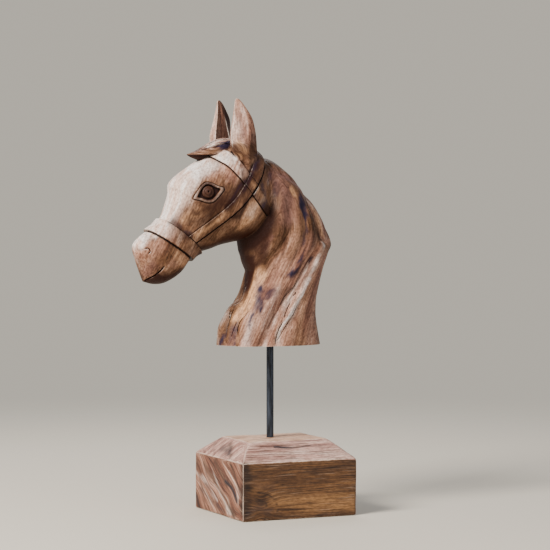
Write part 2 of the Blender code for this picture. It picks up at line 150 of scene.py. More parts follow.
# How deep each ear is hollowed, as a share of its width there
EAR_HOLLOW = 0.22
# Forelock, from between the ears to its tip on the forehead: x, z of its top, half width, thickness, and how
# much of the half width is cut away below its rim
FORELOCK_STATIONS = (
    (-32, 217, 8.0, 12.0, 0.0),
    (-46, 224, 12.0, 20.0, 0.0),
    (-58, 225, 16.0, 26.0, 0.0),
    (-70, 221, 18.0, 27.0, 0.1),
    (-78, 216.5, 16.5, 19.0, 0.4),
    (-86, 212, 12.0, 11.0, 0.5),
    (-93, 209.2, 6.5, 5.6, 0.5),
    (-98, 207.4, 1.0, 1.2, 0.4),
)
# Grooves between its strands: x and distance from the middle, back to front
STRAND_LINES = (
    ((-48, -8), (-58, -8), (-68, -7), (-79, -4.5), (-89, -1.5)),
    ((-46, 3), (-58, 3.5), (-70, 5), (-80, 4), (-87, 2)),
    ((-50, -13), (-62, -13.5), (-73, -11.5), (-83, -7)),
    ((-52, 11), (-64, 12), (-75, 10), (-81, 7)),
)
# Bridle, drawn from the side: points x, z and width as a share of the strap's own width
NOSEBAND_LINE = ((-143, 136, 1.14), (-126, 123, 1.06), (-108, 110, 0.95), (-85, 93, 0.76))
CHEEKPIECE_LINE = (
    (-112, 109, 0.95),
    (-90, 124.5, 1.0),
    (-74, 137, 1.0),
    (-55, 154, 1.05),
    (-42, 170, 1.15),
    (-32, 186, 1.25),
    (-26, 200, 1.25),
    (-22, 216, 1.2),
)
BROWBAND_LINE = (
    (-80, 220, 1.1),
    (-68, 208, 1.08),
    (-58, 200, 1.0),
    (-47, 186, 0.82),
    (-37, 173, 0.78),
    (-28, 161, 0.72),
    (-19, 149, 0.55),
    (-14, 142, 0.2),
)
NOSEBAND_WIDTH = 16.0
CHEEKPIECE_WIDTH = 10.8
BROWBAND_WIDTH = 14.5
NOSEBAND_THICKNESS = 3.0
CHEEKPIECE_THICKNESS = 2.4
BROWBAND_THICKNESS = 2.2
# The knife lines along the straps' feet, which run on over the strap that they cross: side of the strap, as a
# share of its width, where along it they start, width and depth
STRAP_LINES = (
    (NOSEBAND_LINE, NOSEBAND_WIDTH, -0.5, 0.0, 1.3, 1.4),
    (NOSEBAND_LINE, NOSEBAND_WIDTH, 0.5, 0.0, 0.7, 0.2),
    (CHEEKPIECE_LINE, CHEEKPIECE_WIDTH, -0.5, 0.07, 1.8, 1.4),
    (CHEEKPIECE_LINE, CHEEKPIECE_WIDTH, 0.5, 0.07, 0.4, 0.0),
    (BROWBAND_LINE, BROWBAND_WIDTH, -0.5, 0.1, 0.9, 0.6),
    (BROWBAND_LINE, BROWBAND_WIDTH, 0.5, 0.1, 0.6, 0.1),
)

# Eye, mouth and nostril, drawn from the side: points x, z
EYE_CENTRE = (-87, 167)
LID_OUTLINE = (
    (-103.5, 159.5),
    (-98, 170),
    (-91, 177),
    (-83.5, 177),
    (-76, 173.5),
    (-68.5, 170.5),
    (-74, 163),
    (-81, 156),
    (-88, 154.5),
    (-96, 157),
)
LID_SHARE_INSIDE = 0.72
LID_RIM_HEIGHT = 0.7
EYEBALL_RADIUS = 9.2
EYEBALL_PROUD = 1.2
EYE_POCKET_DEPTH = 2.6
# Rings cut in the eyeball: radius, width, depth. The inner one is so small that it leaves the pupil's pit.
EYE_RINGS = ((4.3, 1.3, 0.9), (0.605, 1.87, 1.2))
MOUTH_LINE = ((-154, 68.5), (-148, 72), (-141.5, 77), (-136, 82.5), (-132, 88))
NOSTRIL_LINE = ((-153.5, 106.5), (-149.5, 106.8), (-147.8, 103.5), (-150, 100.8))
# Width and depth of the knife's cuts round the lids, in the mouth and nostril, and between the strands
LID_CUT = (1.9, 1.5)
MOUTH_CUT = (2.2, 2.6)
NOSTRIL_CUT = (2.0, 1.8)
STRAND_CUT = (2.2, 1.9)

# How finely the carving is meshed: about 1.2 mm between points
HEAD_RINGS, HEAD_SIDES = 168, 188
NECK_RINGS, NECK_SIDES = 150, 208
EAR_RINGS, EAR_FACET_STEPS = 76, 11
FORELOCK_RINGS, FORELOCK_SIDES = 64, 56
STRAP_STEPS = 60
# Points of a ring stand this much closer at the sides than above and below
SIDE_CROWDING = 0.12
# Outlines drawn from the side are carried this far both ways, clear of the head
ACROSS = 70.0

# How the knife and the sandpaper left the surface: waves this long and this high
SCOOP_LENGTH, SCOOP_HEIGHT = 15.0, 0.35
RIDGE_LENGTH, RIDGE_WIDTH, RIDGE_HEIGHT = 70.0, 6.5, 0.5
# Edges sharper than this are sanded, by this much at most
SOFT_EDGE_ANGLE = math.radians(28)
SOFT_EDGE_MOVE = 0.22

# Grain of the neck: the line x, z that the fibres follow, from the poll to the underside
GRAIN_LINE = (
    (-8, 215),
    (8, 190),
    (22, 168),
    (30, 148),
    (35, 128),
    (31, 110),
    (20, 88),
    (5, 60),
    (-6, 40),
    (-25, 0),
)
# The head's fibres rise this steeply towards the back. They are shifted by this, along and across, so that
# they run on into the neck's at the poll.
HEAD_GRAIN_LEAN = math.radians(64)
HEAD_GRAIN_MEETS = (56, 73)

# The marks that follow are lines x, y, z along the surface of the horse's left side. Its right side has the
# same ones, moved on by FAR_SIDE_SHIFT, because a streak doesn't go straight through the wood.
FAR_SIDE_SHIFT = (-6, 0, 9)
BAND_FURROW = (
    (36, -30, 94),
    (25, -30, 81),
    (14, -29, 64),
    (4, -30, 53),
    (-7, -30, 35),
    (-19, -34, 20),
    (-28, -34, -2),
)
BAND_LEFT = (
    (48, -31, 110),
    (42, -29, 92),
    (31, -28, 80),
    (20, -30, 70),
    (4, -29, 47),
    (-7, -31, 30),
    (-22, -33, -2),
)
BAND_RIGHT = ((40, -29, 88), (31, -28, 74), (17, -33, 47), (2, -35, 26), (-5, -35, 14), (-9, -36, -2))
RIGHT_CREASE = ((21, -34, 48), (12, -35, 33), (0, -37, 18), (-8, -36, 6), (-11, -36, -2))
LOBE_FOOT = ((-31, -25, 48), (-35, -24, 39), (-41, -19, 30), (-45, -18, 22), (-47, -19, 13), (-50, -19, -2))
LOBE_CREST = ((-22, -27, 62), (-27, -27, 45), (-35, -29, 29), (-40, -30, 14), (-42, -31, -2))
FRONT_GROOVE = (
    (-29, 5, 66),
    (-32, 2, 56),
    (-40, 1, 45),
    (-49, -6, 37),
    (-53, -9, 28),
    (-56, -9, 15),
    (-58, -7, -2),
)
FRONT_RIDGE = ((-34, 9, 52), (-46, 6, 41), (-52, 1, 33), (-56, 4, 20), (-58, 7, -2))
MAUVE_HOLLOW = ((-42, -17, 36), (-47, -17, 27), (-51, -17, 18), (-54, -16, 9), (-56, -16, -2))
CREST_CREASE = ((34, -16, 163), (35, -26, 148), (40, -31, 131), (47, -30, 116))
RED_CREASE = ((9, -33, 148), (9, -33, 138), (9, -32, 124), (4, -30, 114), (-5, -26, 100), (-12, -23, 93))
GOLD_STRIP = ((-22, -17, 80), (-26, -17, 66), (-30, -18, 53), (-38, -15, 40), (-47, -15, 29))
EYE_SOCKET = ((-100, -32, 160), (-92, -34, 152), (-80, -35, 155), (-68, -36, 168), (-74, -36, 180))
# Low ridges and hollows that a palm would feel: line, width, height
NECK_RELIEF = (
    (BAND_LEFT, 5.0, 2.6),
    (BAND_RIGHT, 4.0, 2.4),
    (RIGHT_CREASE, 5.0, -2.4),
    (BAND_FURROW, 4.0, -1.6),
    (LOBE_CREST, 9.0, 2.6),
    (LOBE_FOOT, 3.6, -2.4),
    (GOLD_STRIP, 4.5, 1.4),
    (MAUVE_HOLLOW, 4.5, -2.2),
    (FRONT_GROOVE, 4.0, -2.4),
    (FRONT_RIDGE, 4.5, 1.6),
    (CREST_CREASE, 4.5, -2.0),
    (((8, -22, 186), (24, -18, 172), (40, -16, 152), (52, -20, 128)), 5.0, 1.6),
    (RED_CREASE, 5.0, -1.6),
    (((-2, -34, 160), (0, -32, 140), (-8, -28, 118)), 6.0, 1.3),
    (((17, -33, 156), (17, -34, 136), (14, -33, 112), (0, -29, 92)), 6.0, 1.3),
    (((26, -33, 150), (27, -34, 124), (20, -33, 100), (6, -31, 80)), 4.0, -1.3),
    (((33, -32, 146), (36, -33, 126), (30, -33, 104), (16, -31, 82)), 5.0, 1.4),
    (((-6, -30, 62), (-18, -32, 36), (-28, -33, 8)), 6.0, 1.0),
)
# Knife lines and drying cracks: line, width, depth
NECK_CUTS = (
    (((18, -27, 58), (15, -28, 53)), 1.5, 1.0),
    (((11, -30, 47), (6, -31, 38), (2, -33, 30)), 1.4, 1.2),
    (((0, -34, 26), (-6, -35, 18), (-9, -37, 9), (-11, -37, 1)), 1.9, 1.8),
    (RIGHT_CREASE[:4], 1.2, 1.0),
    (BAND_FURROW[:5], 1.1, 0.9),
    (FRONT_GROOVE[:6], 1.3, 1.3),
    (((-50, -3, 38), (-51, -6, 34), (-52, -7, 30)), 1.3, 1.2),
    (LOBE_FOOT[1:5], 1.4, 1.4),
    (MAUVE_HOLLOW[1:4], 1.2, 0.9),
    (((-13, -19, 199), (-7, -26, 190), (-3, -31, 182), (5, -33, 173), (11, -32, 170)), 1.0, 0.8),
    (CREST_CREASE, 1.1, 0.9),
    (RED_CREASE[2:5], 0.8, 0.6),
)
# Cracks in the head itself
HEAD_CUTS = (
    (((-75, -30, 126), (-79, -26, 117), (-81, -22, 112)), 0.9, 0.6),
    (((-122, -24, 104), (-125, -23, 99), (-126, -22, 93)), 0.8, 0.5),
)
# How the wood is coloured along such lines. Each map has its lines, each with a width and a strength.
STREAKS = {
    # Light pinkish sapwood, in broad areas
    "sap": (
        (((34, -28, 92), (12, -31, 62), (-6, -33, 30), (-14, -34, -2)), 24.0, 1.0),
        (((46, -26, 66), (38, -32, 32), (36, -34, -2)), 18.0, 0.85),
        (((52, -22, 94), (46, -27, 74), (40, -31, 50)), 12.0, 1.1),
        (((27, -18, 174), (45, -21, 146), (57, -23, 114)), 8.0, 1.1),
        (((14, -32, 116), (2, -30, 96), (-8, -29, 78)), 10.0, 0.45),
        (((4, -30, 84), (-11, -29, 60), (-20, -29, 36), (-26, -31, 4)), 14.0, 1.15),
        (((-22, -26, 66), (-34, -28, 30), (-40, -30, -2)), 12.0, 0.8),
        (((-158, 0, 108), (-152, -12, 100), (-140, -18, 108)), 12.0, 0.8),
        (((-124, -24, 90), (-108, -24, 96)), 9.0, 0.5),
        (((-146, 0, 136), (-132, -14, 129)), 9.0, 0.8),
        (((-84, -34, 192), (-70, -34, 192), (-56, -34, 192)), 13.0, 1.0),
        (((-28, -37, 154), (-40, -36, 142), (-46, -32, 134)), 11.0, 0.6),
        (((-60, -34, 128), (-48, -34, 134)), 8.0, 0.4),
    ),
    # Blue-black mineral stain
    "stain": (
        (((22, -31, 162), (25, -33, 150), (28, -34, 138)), 4.6, 1.1),
        (((27, -34, 138), (26, -35, 124), (25, -34, 112), (21, -33, 98)), 3.0, 0.75),
        (((25, -33, 97), (17, -32, 86), (10, -32, 76)), 3.6, 1.0),
        (((41, -29, 99), (35, -29, 91)), 3.0, 0.85),
        (((29, -31, 90), (23, -31, 84)), 2.6, 0.6),
        (((-21, -26, 59), (-25, -26, 50), (-28, -28, 41)), 7.0, 1.05),
        (((-11, -28, 59), (-17, -27, 56), (-24, -27, 54)), 6.0, 0.95),
        (((-33, -29, 34), (-35, -29, 30)), 3.0, 1.3),
        (((-37, -29, 26), (-39, -29, 20)), 3.0, 1.0),
        (((-29, -33, 206), (-30, -34, 198), (-34, -34, 192)), 5.0, 0.65),
        (((-36, -38, 188), (-44, -38, 178), (-54, -38, 167), (-62, -38, 158)), 5.0, 0.45),
        (((-24, -34, 174), (-22, -34, 160), (-26, -34, 150)), 3.4, 0.7),
        (((-17, -33, 192), (-9, -33, 176), (-8, -33, 166)), 6.0, 0.6),
        (((-54, -6, 12), (-59, 0, -2)), 5.5, 1.1),
        (((-47, -17, 25), (-51, -17, 16), (-54, -16, 2)), 3.8, 0.7),
        (((-66, -15, 214), (-60, -15.5, 218), (-54, -14, 221)), 3.4, 1.3),
        (((-48, -31.5, 252), (-48, -33.5, 240), (-49, -34.5, 226)), 3.2, 0.45),
        (((-113, -22, 126), (-106, -26, 122)), 3.4, 0.6),
        (((4, -28, 178), (18, -24, 166)), 3.0, 0.45),
        (((38, -32, 118), (34, -33, 106)), 3.4, 0.5),
    ),
    # Deep brown heartwood, old wax in the hollows, and painted shadow above the noseband, on the throat,
    # under the jaw and behind the cheekpiece
    "umber": (
        # Painted shadow above the noseband's upper edge
        (((-122, -18, 134), (-115, -23, 126), (-107, -26, 118)), 7.0, 0.85),
        (((-52, -12, 221), (-60, -13.5, 220), (-72, -13, 215.5), (-82, -9, 212.5)), 2.2, 1.3),
        (((-54, -6, 224), (-64, -6, 222), (-76, -5.5, 217), (-88, -3, 211)), 2.2, 1.1),
        (((-60, 4, 225), (-74, 4, 218), (-88, 1, 211)), 7.0, 0.6),
        (((-26, -39, 206), (-30, -36, 196), (-36, -34, 190)), 7.0, 0.9),
        (((-36, -38, 186), (-46, -38, 176), (-58, -38, 163), (-68, -37, 151)), 6.0, 1.05),
        # Dark wood and painted shadow on the throat below the jaw, in this line and the next
        (((-30, 0, 110), (-27, -6, 95), (-28, -6, 80), (-31, -2, 68)), 13.0, 1.3),
        (((-18, -24, 108), (-20, -18, 94), (-25, -12, 80)), 9.0, 0.85),
        (CREST_CREASE, 3.0, 0.8),
        (((33, -34, 124), (38, -32, 112), (42, -30, 104)), 6.0, 0.5),
        # Painted shadow behind the cheekpiece's rear edge
        (((-98, -24, 108), (-83, -29, 117), (-67, -34, 130), (-49, -37, 147), (-36, -37, 163)), 4.0, 0.8),
        (((-102, -29, 146), (-88, -33, 149), (-72, -36, 160)), 7.0, 0.75),
        # Painted shade under the jaw
        (((-80, -16, 100), (-62, -16, 106), (-45, -10, 111)), 6.0, 0.7),
        (EYE_SOCKET, 6.0, 0.55),
        (((-104, -29, 136), (-88, -32, 142), (-72, -36, 156), (-60, -37, 168)), 8.0, 0.8),
        (((-88, -34, 167), (-86, -34, 167)), 8.5, 0.55),
        (BAND_FURROW[:6], 3.0, 0.75),
        (((58, -10, 96), (52, -14, 62), (51, -14, 30), (54, -14, -2)), 6.0, 0.55),
        (RED_CREASE, 2.2, 0.55),
        (((-9, -26, 104), (-16, -20, 88), (-22, -18, 76)), 3.0, 0.6),
        (((-29, -33, 190), (-24, -34, 176)), 5.0, 0.5),
    ),
    # Golden sapwood
    "gold": (
        (GOLD_STRIP, 8.0, 1.3),
        (((-28, -36, 156), (-38, -36, 142), (-48, -29, 130)), 9.0, 0.85),
        (((-96, -31, 147), (-104, -28, 142), (-112, -24, 134)), 6.0, 0.6),
        (((-100, -27, 119), (-85, -31, 130), (-70, -35, 142)), 4.5, 0.75),
        (((-37, -37, 176), (-26, -37, 161)), 4.5, 0.8),
        (((-62, -30, 200), (-54, -33, 192)), 5.0, 0.5),
        (((-52, -33, 217), (-46, -34, 211)), 5.0, 1.1),
        (((40, -30, 72), (26, -33, 50), (22, -36, 24), (18, -38, -2)), 11.0, 0.3),
        (((40, -18, 155), (46, -25, 134), (55, -25, 117)), 3.5, 0.8),
        (((10, -32, 171), (16, -31, 164)), 3.6, 1.1),
        (((-26, -3, 90), (-25, -6, 82)), 2.2, 0.8),
        (((-106, -18, 90), (-117, -23, 98)), 9.0, 0.6),
        (((-70, -28, 118), (-56, -28, 120), (-44, -28, 128)), 7.0, 0.5),
    ),
    # Pale weathered sapwood
    "pale": (
        (BAND_LEFT, 3.6, 0.8),
        (BAND_RIGHT[1:], 3.2, 0.8),
        (((-27, -27, 45), (-35, -29, 29), (-40, -30, 14), (-41, -31, -2)), 5.0, 0.45),
        (FRONT_RIDGE, 4.0, 0.4),
        # A pale worn edge between the ear's foot and the forelock, with a painted highlight
        (((-66, -19, 211), (-58, -19.5, 217), (-51, -19.5, 223)), 2.4, 1.1),
        (((-54, -9.5, 223), (-64, -10, 220), (-76, -9, 216)), 2.0, 0.8),
        (((-24, -37, 158), (-31, -37, 150), (-40, -35, 140)), 5.0, 0.32),
        (((-68, -22, 206), (-58, -30, 198), (-52, -33, 190)), 5.0, 0.7),
        (((-16, -33, 180), (-8, -33, 150)), 4.0, 0.25),
        (((-6, -30, 62), (-15, -31, 42), (-22, -32, 16)), 7.0, 0.35),
        (((26, -18, 174), (45, -22, 148), (57, -24, 116)), 4.0, 0.3),
    ),
    # Mauve and pinkish heartwood
    "rose": (
        (((-8, -33, 184), (6, -33, 162), (6, -33, 138)), 13.0, 0.75),
        (((-7, -30, 192), (12, -25, 180), (28, -18, 164)), 8.0, 0.9),
        (((-37, -30, 18), (-41, -31, -2)), 7.0, 0.6),
        (((-152, -8, 78), (-142, -16, 88)), 9.0, 0.7),
        (((-8, -30, 54), (-20, -32, 32), (-29, -33, 8)), 2.6, 0.6),
        (((-66, -34, 188), (-58, -36, 178)), 6.0, 0.5),
        (((-18, -22, 104), (-12, -28, 118)), 6.0, 0.7),
        (((34, -34, 120), (30, -34, 104)), 7.0, 0.5),
        (((-50, -17, 20), (-55, -14, 2)), 5.0, 0.7),
        (((20, -14, 180), (42, -14, 156), (56, -16, 128)), 8.0, 0.45),
        (((-56, 0, 232), (-70, 4, 222), (-86, 0, 212)), 12.0, 0.5),
    ),
}
# The muzzle lies beyond the noseband: which way that is, and how far along it the muzzle starts and is itself
MUZZLE_WAY = np.array((0.58, 0, 0.81))
MUZZLE_EDGE = (-20.0, -17.0)
# The mouth, and the line on which it would run on to the jaw: the wood below is dark. x, z
CHIN_EDGE = (
    (-160, 64),
    (-154, 68.5),
    (-148, 72),
    (-141.5, 77),
    (-136, 81.5),
    (-126, 83),
    (-108, 88),
    (-92, 92),
)
# The pale plane of the face ends at this line, drawn from the side: x, z
PALE_FACE_EDGE = (
    (-118, 128),
    (-115, 135),
    (-111, 147),
    (-104, 160),
    (-98, 176),
    (-89, 184),
    (-74, 194),
    (-66, 206),
)
# The way that the pale, weathered side of the wood faces, close to the way to the key light, so that this
# paling is also painted light
WEATHER_AND_LIGHT_SIDE = np.array((-0.80, -0.12, 0.58))
# How much of each strap's face the weather and painted light have paled, at most
PALED_STRAPS = ((NOSEBAND_LINE, NOSEBAND_WIDTH, 0.55), (BROWBAND_LINE, BROWBAND_WIDTH, 0.85))
# Streaks break up along the fibres. Their edges wander this far, in waves this long in the grain's three
# directions, and the mineral stains' edges once more, in finer waves.
STREAK_WANDER, STREAK_WAVES = 4.5, (24, 7, 9)
BLOT_WANDER, BLOT_WAVES = 3.0, (9, 3.6, 4.5)
# Dirt and painted shade sit where other wood stands within this reach, as so many lines of sight from each
# point tell
DIRT_AND_SHADE_REACH = 7 * MM
SIGHT_LINES, QUICK_SIGHT_LINES = 14, 5


def drawn(obj):
    """The object's points in drawn millimetres."""
    flat = np.empty(len(obj.data.vertices) * 3, np.float32)
    obj.data.vertices.foreach_get("co", flat)
    return flat.reshape(-1, 3).astype(float) / SCALE


def redraw(obj, points):
    obj.data.vertices.foreach_set("co", (points * SCALE).astype(np.float32).ravel())
    obj.data.update()


def facing(obj):
    """The way the surface faces at each point."""
    flat = np.empty(len(obj.data.vertices) * 3, np.float32)
    obj.data.vertex_normals.foreach_get("vector", flat)
    return flat.reshape(-1, 3).astype(float)


def smooth_step(values, low, high):
    t = np.clip((values - low) / (high - low), 0, 1)
    return t * t * (3 - 2 * t)


def waves(points, sizes, seed):
    """Soft waves from -1 to 1, this long in each direction."""
    places = points / np.array(sizes) + seed * 17.3
    return np.array([noise.noise(place) for place in places.tolist()])


def curve_through(rows, count):
    """Catmull-Rom curve through the rows, read at count even steps."""
    rows = np.array(rows, float)
    padded = np.vstack([2 * rows[0] - rows[1], rows, 2 * rows[-1] - rows[-2]])
    places = np.linspace(0, len(rows) - 1, count)
    first = np.minimum(places.astype(int), len(rows) - 2)
    t = (places - first)[:, None]
    a, b, c, d = (padded[first + k] for k in range(4))
    return 0.5 * (2 * b + (c - a) * t + (2 * a - 5 * b + 4 * c - d) * t**2 + (3 * b - a - 3 * c + d) * t**3)


def line_distance(points, line):
    """How far each x, z point is from a line drawn from the side."""
    nearest = np.full(len(points), np.inf)
    for start, end in zip(line, line[1:]):
        run = end - start
        share = np.clip((points - start) @ run / (run @ run), 0, 1)
        gap = points - (start + share[:, None] * run)
        nearest = np.minimum(nearest, np.hypot(gap[:, 0], gap[:, 1]))
    return nearest


def space_distance(points, line):
    """How far each point is from a smooth line x, y, z."""
    line = curve_through(line, 5 * len(line) - 4)
    nearest = np.full(len(points), np.inf)
    for start, end in zip(line, line[1:]):
        run = end - start
        share = np.clip((points - start) @ run / (run @ run), 0, 1)
        nearest = np.minimum(nearest, np.linalg.norm(points - start - share[:, None] * run, axis=1))
    return nearest


def distance_along(points, line):
    """How far each drawn point is from a line on the left side, or from its twin on the right."""
    far = points[:, 1] > 9
    near_side = points - far[:, None] * FAR_SIDE_SHIFT
    near_side[:, 1] *= np.where(far, -1, 1)
    return space_distance(near_side, line)


def object_from(name, bm):
    bmesh.ops.recalc_face_normals(bm, faces=bm.faces)
    mesh = bpy.data.meshes.new(name)
    bm.to_mesh(mesh)
    bm.free()
    obj = bpy.data.objects.new(name, mesh)
    bpy.context.scene.collection.objects.link(obj)
    return obj


def copy_of(obj, name):
    twin = bpy.data.objects.new(name, obj.data.copy())
    bpy.context.scene.collection.objects.link(twin)
    return twin


def combine(obj, operation, tool):
    """Joins the tool to the object, cuts it away or keeps what they share, and removes the tool."""
    modifier = obj.modifiers.new(operation.lower(), "BOOLEAN")
    modifier.operation = operation
    modifier.solver = "MANIFOLD"
    modifier.object = tool
    graph = bpy.context.evaluated_depsgraph_get()
    mesh = bpy.data.meshes.new_from_object(obj.evaluated_get(graph))
    obj.modifiers.remove(modifier)
    obj.data = mesh
    bpy.data.objects.remove(tool, do_unlink=True)


def thicken(obj, heights):
    """Moves each point out along the surface's own direction."""
    redraw(obj, drawn(obj) + facing(obj) * np.asarray(heights).reshape(-1, 1))


def body_ring(station, sides):
    """One ring of the head or neck, in the plane through its two middle points and the y axis."""
    upper_x, upper_z, lower_x, lower_z, half_width, squareness, wider_above = station
    turn = np.linspace(0, 2 * math.pi, sides, endpoint=False)
    turn = turn + SIDE_CROWDING * np.sin(2 * turn)
    along, across = (
        np.sign(wave) * np.abs(wave) ** (2 / squareness) for wave in (np.cos(turn), np.sin(turn))
    )
    x = (upper_x + lower_x) / 2 + (upper_x - lower_x) / 2 * along
    z = (upper_z + lower_z) / 2 + (upper_z - lower_z) / 2 * along
    y = half_width * across * (1 + wider_above * along)
    return np.stack([x, y, z], axis=1)


def skin(name, rings):
    """A closed form through rings of drawn points that all have the same count."""
    bm = bmesh.new()
    rows = [[bm.verts.new(point * SCALE) for point in ring] for ring in rings]
    sides = len(rows[0])
    for low, high in zip(rows, rows[1:]):
        for k in range(sides):
            n = (k + 1) % sides
            bm.faces.new((low[k], low[n], high[n], high[k]))
    bm.faces.new(rows[0][::-1])
    bm.faces.new(rows[-1])
    return object_from(name, bm)


def grain_of(points, on_head, on_tuft=0.0):
    """Where each point lies in the wood: along the fibres, across them and into the block, in millimetres."""
    x, y, z = points.T
    line = curve_through(GRAIN_LINE, 80)
    order = np.argsort(line[:, 1])
    neck_across = x - np.interp(z, line[order, 1], line[order, 0])
    head_across = x * math.sin(HEAD_GRAIN_LEAN) - z * math.cos(HEAD_GRAIN_LEAN) + HEAD_GRAIN_MEETS[1]
    head_along = x * math.cos(HEAD_GRAIN_LEAN) + z * math.sin(HEAD_GRAIN_LEAN) + HEAD_GRAIN_MEETS[0]
    across = neck_across + (head_across - neck_across) * on_head
    along = z * 1.15 + (head_along - z * 1.15) * on_head
    across += (x + 12 - across) * on_tuft
    along += (z + 14 - along) * on_tuft
    return np.stack([along, across, y], axis=1)


def tool_marks(obj, on_head):
    """Shallow scoops of the knife, and on the neck low ridges that follow the fibres."""
    points = drawn(obj)
    heights = SCOOP_HEIGHT * waves(points, (SCOOP_LENGTH,) * 3, 1 + on_head)
    if not on_head:
        grain = grain_of(points, 0.0)
        heights += RIDGE_HEIGHT * waves(grain, (RIDGE_LENGTH, RIDGE_WIDTH, RIDGE_WIDTH * 2), 5)
        heights *= smooth_step(points[:, 2], -1, 6)
    return heights


def lid_rims(points):
    """The raised rim of both lids, between the knife line round them and the pocket of the eye."""
    rim = closed_line(inner_outline(LID_OUTLINE, EYE_CENTRE, (1 + LID_SHARE_INSIDE) / 2), 4)
    away = line_distance(points[:, [0, 2]], np.array([*rim, rim[0]]))
    return LID_RIM_HEIGHT * smooth_step(-away, -2.2, -0.6)


def head_block():
    skull = skin("skull", [body_ring(s, HEAD_SIDES) for s in curve_through(HEAD_STATIONS, HEAD_RINGS)])
    points = drawn(skull)
    total = tool_marks(skull, 1) + lid_rims(points)
    for x, aside, z, reach, height in HEAD_SWELLS:
        away = (points[:, 0] - x) ** 2 + (np.abs(points[:, 1]) - aside) ** 2 + (points[:, 2] - z) ** 2
        total += height * np.exp(-away / reach**2)
    thicken(skull, total)
    return skull


def neck_block():
    neck = skin("neck", [body_ring(s, NECK_SIDES) for s in curve_through(NECK_STATIONS, NECK_RINGS)])
    points = drawn(neck)
    total = tool_marks(neck, 0)
    for line, width, depth in NECK_FOLDS:
        away = line_distance(points[:, [0, 2]], curve_through(line, 24))
        total -= depth * np.clip(1 - away / width, 0, 1) ** 1.5
    for line, width, height in NECK_RELIEF:
        total += height * np.exp(-((distance_along(points, line) / width) ** 2))
    outward = facing(neck)
    outward[:, 2] *= smooth_step(points[:, 2], 0, 8)
    outward /= np.linalg.norm(outward, axis=1, keepdims=True)
    redraw(neck, points + outward * total[:, None])
    return neck


def ear_ring(level, side):
    """One level ring of an ear: straight between its corners, with a hollow in the face to the other ear."""
    z, corners = level[0], level[1:].reshape(-1, 2)
    depth = EAR_HOLLOW * np.linalg.norm(corners[0] - corners[-1])
    points = []
    for start, end, hollow in zip(corners, np.roll(corners, -1, axis=0), (0, 0, 0, 0, depth)):
        for share in np.linspace(0, 1, EAR_FACET_STEPS, endpoint=False):
            x, y = start + (end - start) * share
            points.append((x, side * (y + hollow * math.sin(math.pi * share)), z))
    return np.array(points)


def ear(name, side):
    levels = [[z, *np.ravel(corners)] for z, *corners in EAR_LEVELS]
    return skin(name, [ear_ring(level, side) for level in curve_through(levels, EAR_RINGS)])


def forelock():
    """A tongue of hair that lies on the forehead and ends in a point, clear of the forehead below it."""
    turn = np.linspace(0, 2 * math.pi, FORELOCK_SIDES, endpoint=False)
    rings = []
    for x, top, half_width, thickness, undercut in curve_through(FORELOCK_STATIONS, FORELOCK_RINGS):
        below = np.clip(-np.cos(turn) / 0.1, 0, 1)
        y = half_width * np.sin(turn) * (1 - undercut * below)
        z = top - thickness / 2 + thickness / 2 * np.cos(turn)
        rings.append(np.stack([np.full(FORELOCK_SIDES, x), y, z], axis=1))
    return skin("forelock", rings)


def side_prism(name, outline):
    """An outline drawn from the side, carried right across the head."""
    bm = bmesh.new()
    face = bm.faces.new([bm.verts.new((x * SCALE, -ACROSS * SCALE, z * SCALE)) for x, z in outline])
    made = bmesh.ops.extrude_face_region(bm, geom=[face])["geom"]
    corners = [item for item in made if isinstance(item, bmesh.types.BMVert)]
    bmesh.ops.translate(bm, verts=corners, vec=(0, 2 * ACROSS * SCALE, 0))
    return object_from(name, bm)


def ribbon(line, width, near=-0.5, far=0.5, trim=0.0):
    """The outline of a strip along a strap's line, between two shares of the strap's width."""
    rows = curve_through(line, STRAP_STEPS)
    if trim:
        rows = rows[int(trim * STRAP_STEPS):]
    run = np.gradient(rows[:, :2], axis=0)
    normal = np.stack([-run[:, 1], run[:, 0]], axis=1) / np.hypot(run[:, 0], run[:, 1])[:, None]
    wide = normal * rows[:, 2:3] * width
    return np.vstack([rows[:, :2] + wide * far, (rows[:, :2] + wide * near)[::-1]])


def strap(name, form, line, width, thickness, trim=0.0):
    """The part of the form, made thicker all over, that lies within the strap's outline."""
    band = copy_of(form, name)
    thicken(band, np.full(len(band.data.vertices), thickness))
    combine(band, "INTERSECT", side_prism(name + "_outline", ribbon(line, width, trim=trim)))
    return band


def cut_strip(head, form, outline, floor):
    """Cuts a strip drawn from the side into the head, down to a height above or below the bare form."""
    strip = side_prism("strip", outline)
    bed = copy_of(form, "strip_bed")
    thicken(bed, np.full(len(bed.data.vertices), floor))
    combine(strip, "DIFFERENCE", bed)
    combine(head, "DIFFERENCE", strip)


def sight(tree, starts, direction):
    """Where straight lines of sight from the drawn points meet the surface, and the way it faces there."""
    hits = [tree.ray_cast(Vector(start) * SCALE, Vector(direction)) for start in starts]
    return [(point, normal) for point, normal, _, _ in hits if point is not None]


def on_side(tree, line, side):
    return sight(tree, [(x, side * ACROSS, z) for x, z in line], (0, -side, 0))


def on_surface(tree, line, side):
    """The nearest places on the surface to a line x, y, z, or for side 1 to its twin on the right side."""
    shift = FAR_SIDE_SHIFT if side > 0 else (0, 0, 0)
    points = curve_through(line, 8 * len(line)) * (1, -side, 1) + shift
    return [tree.find_nearest(Vector(point) * SCALE)[:2] for point in points]


def on_top(tree, line):
    return sight(tree, [(x, y, DRAWN_HEIGHT) for x, y in line], (0, 0, -1))


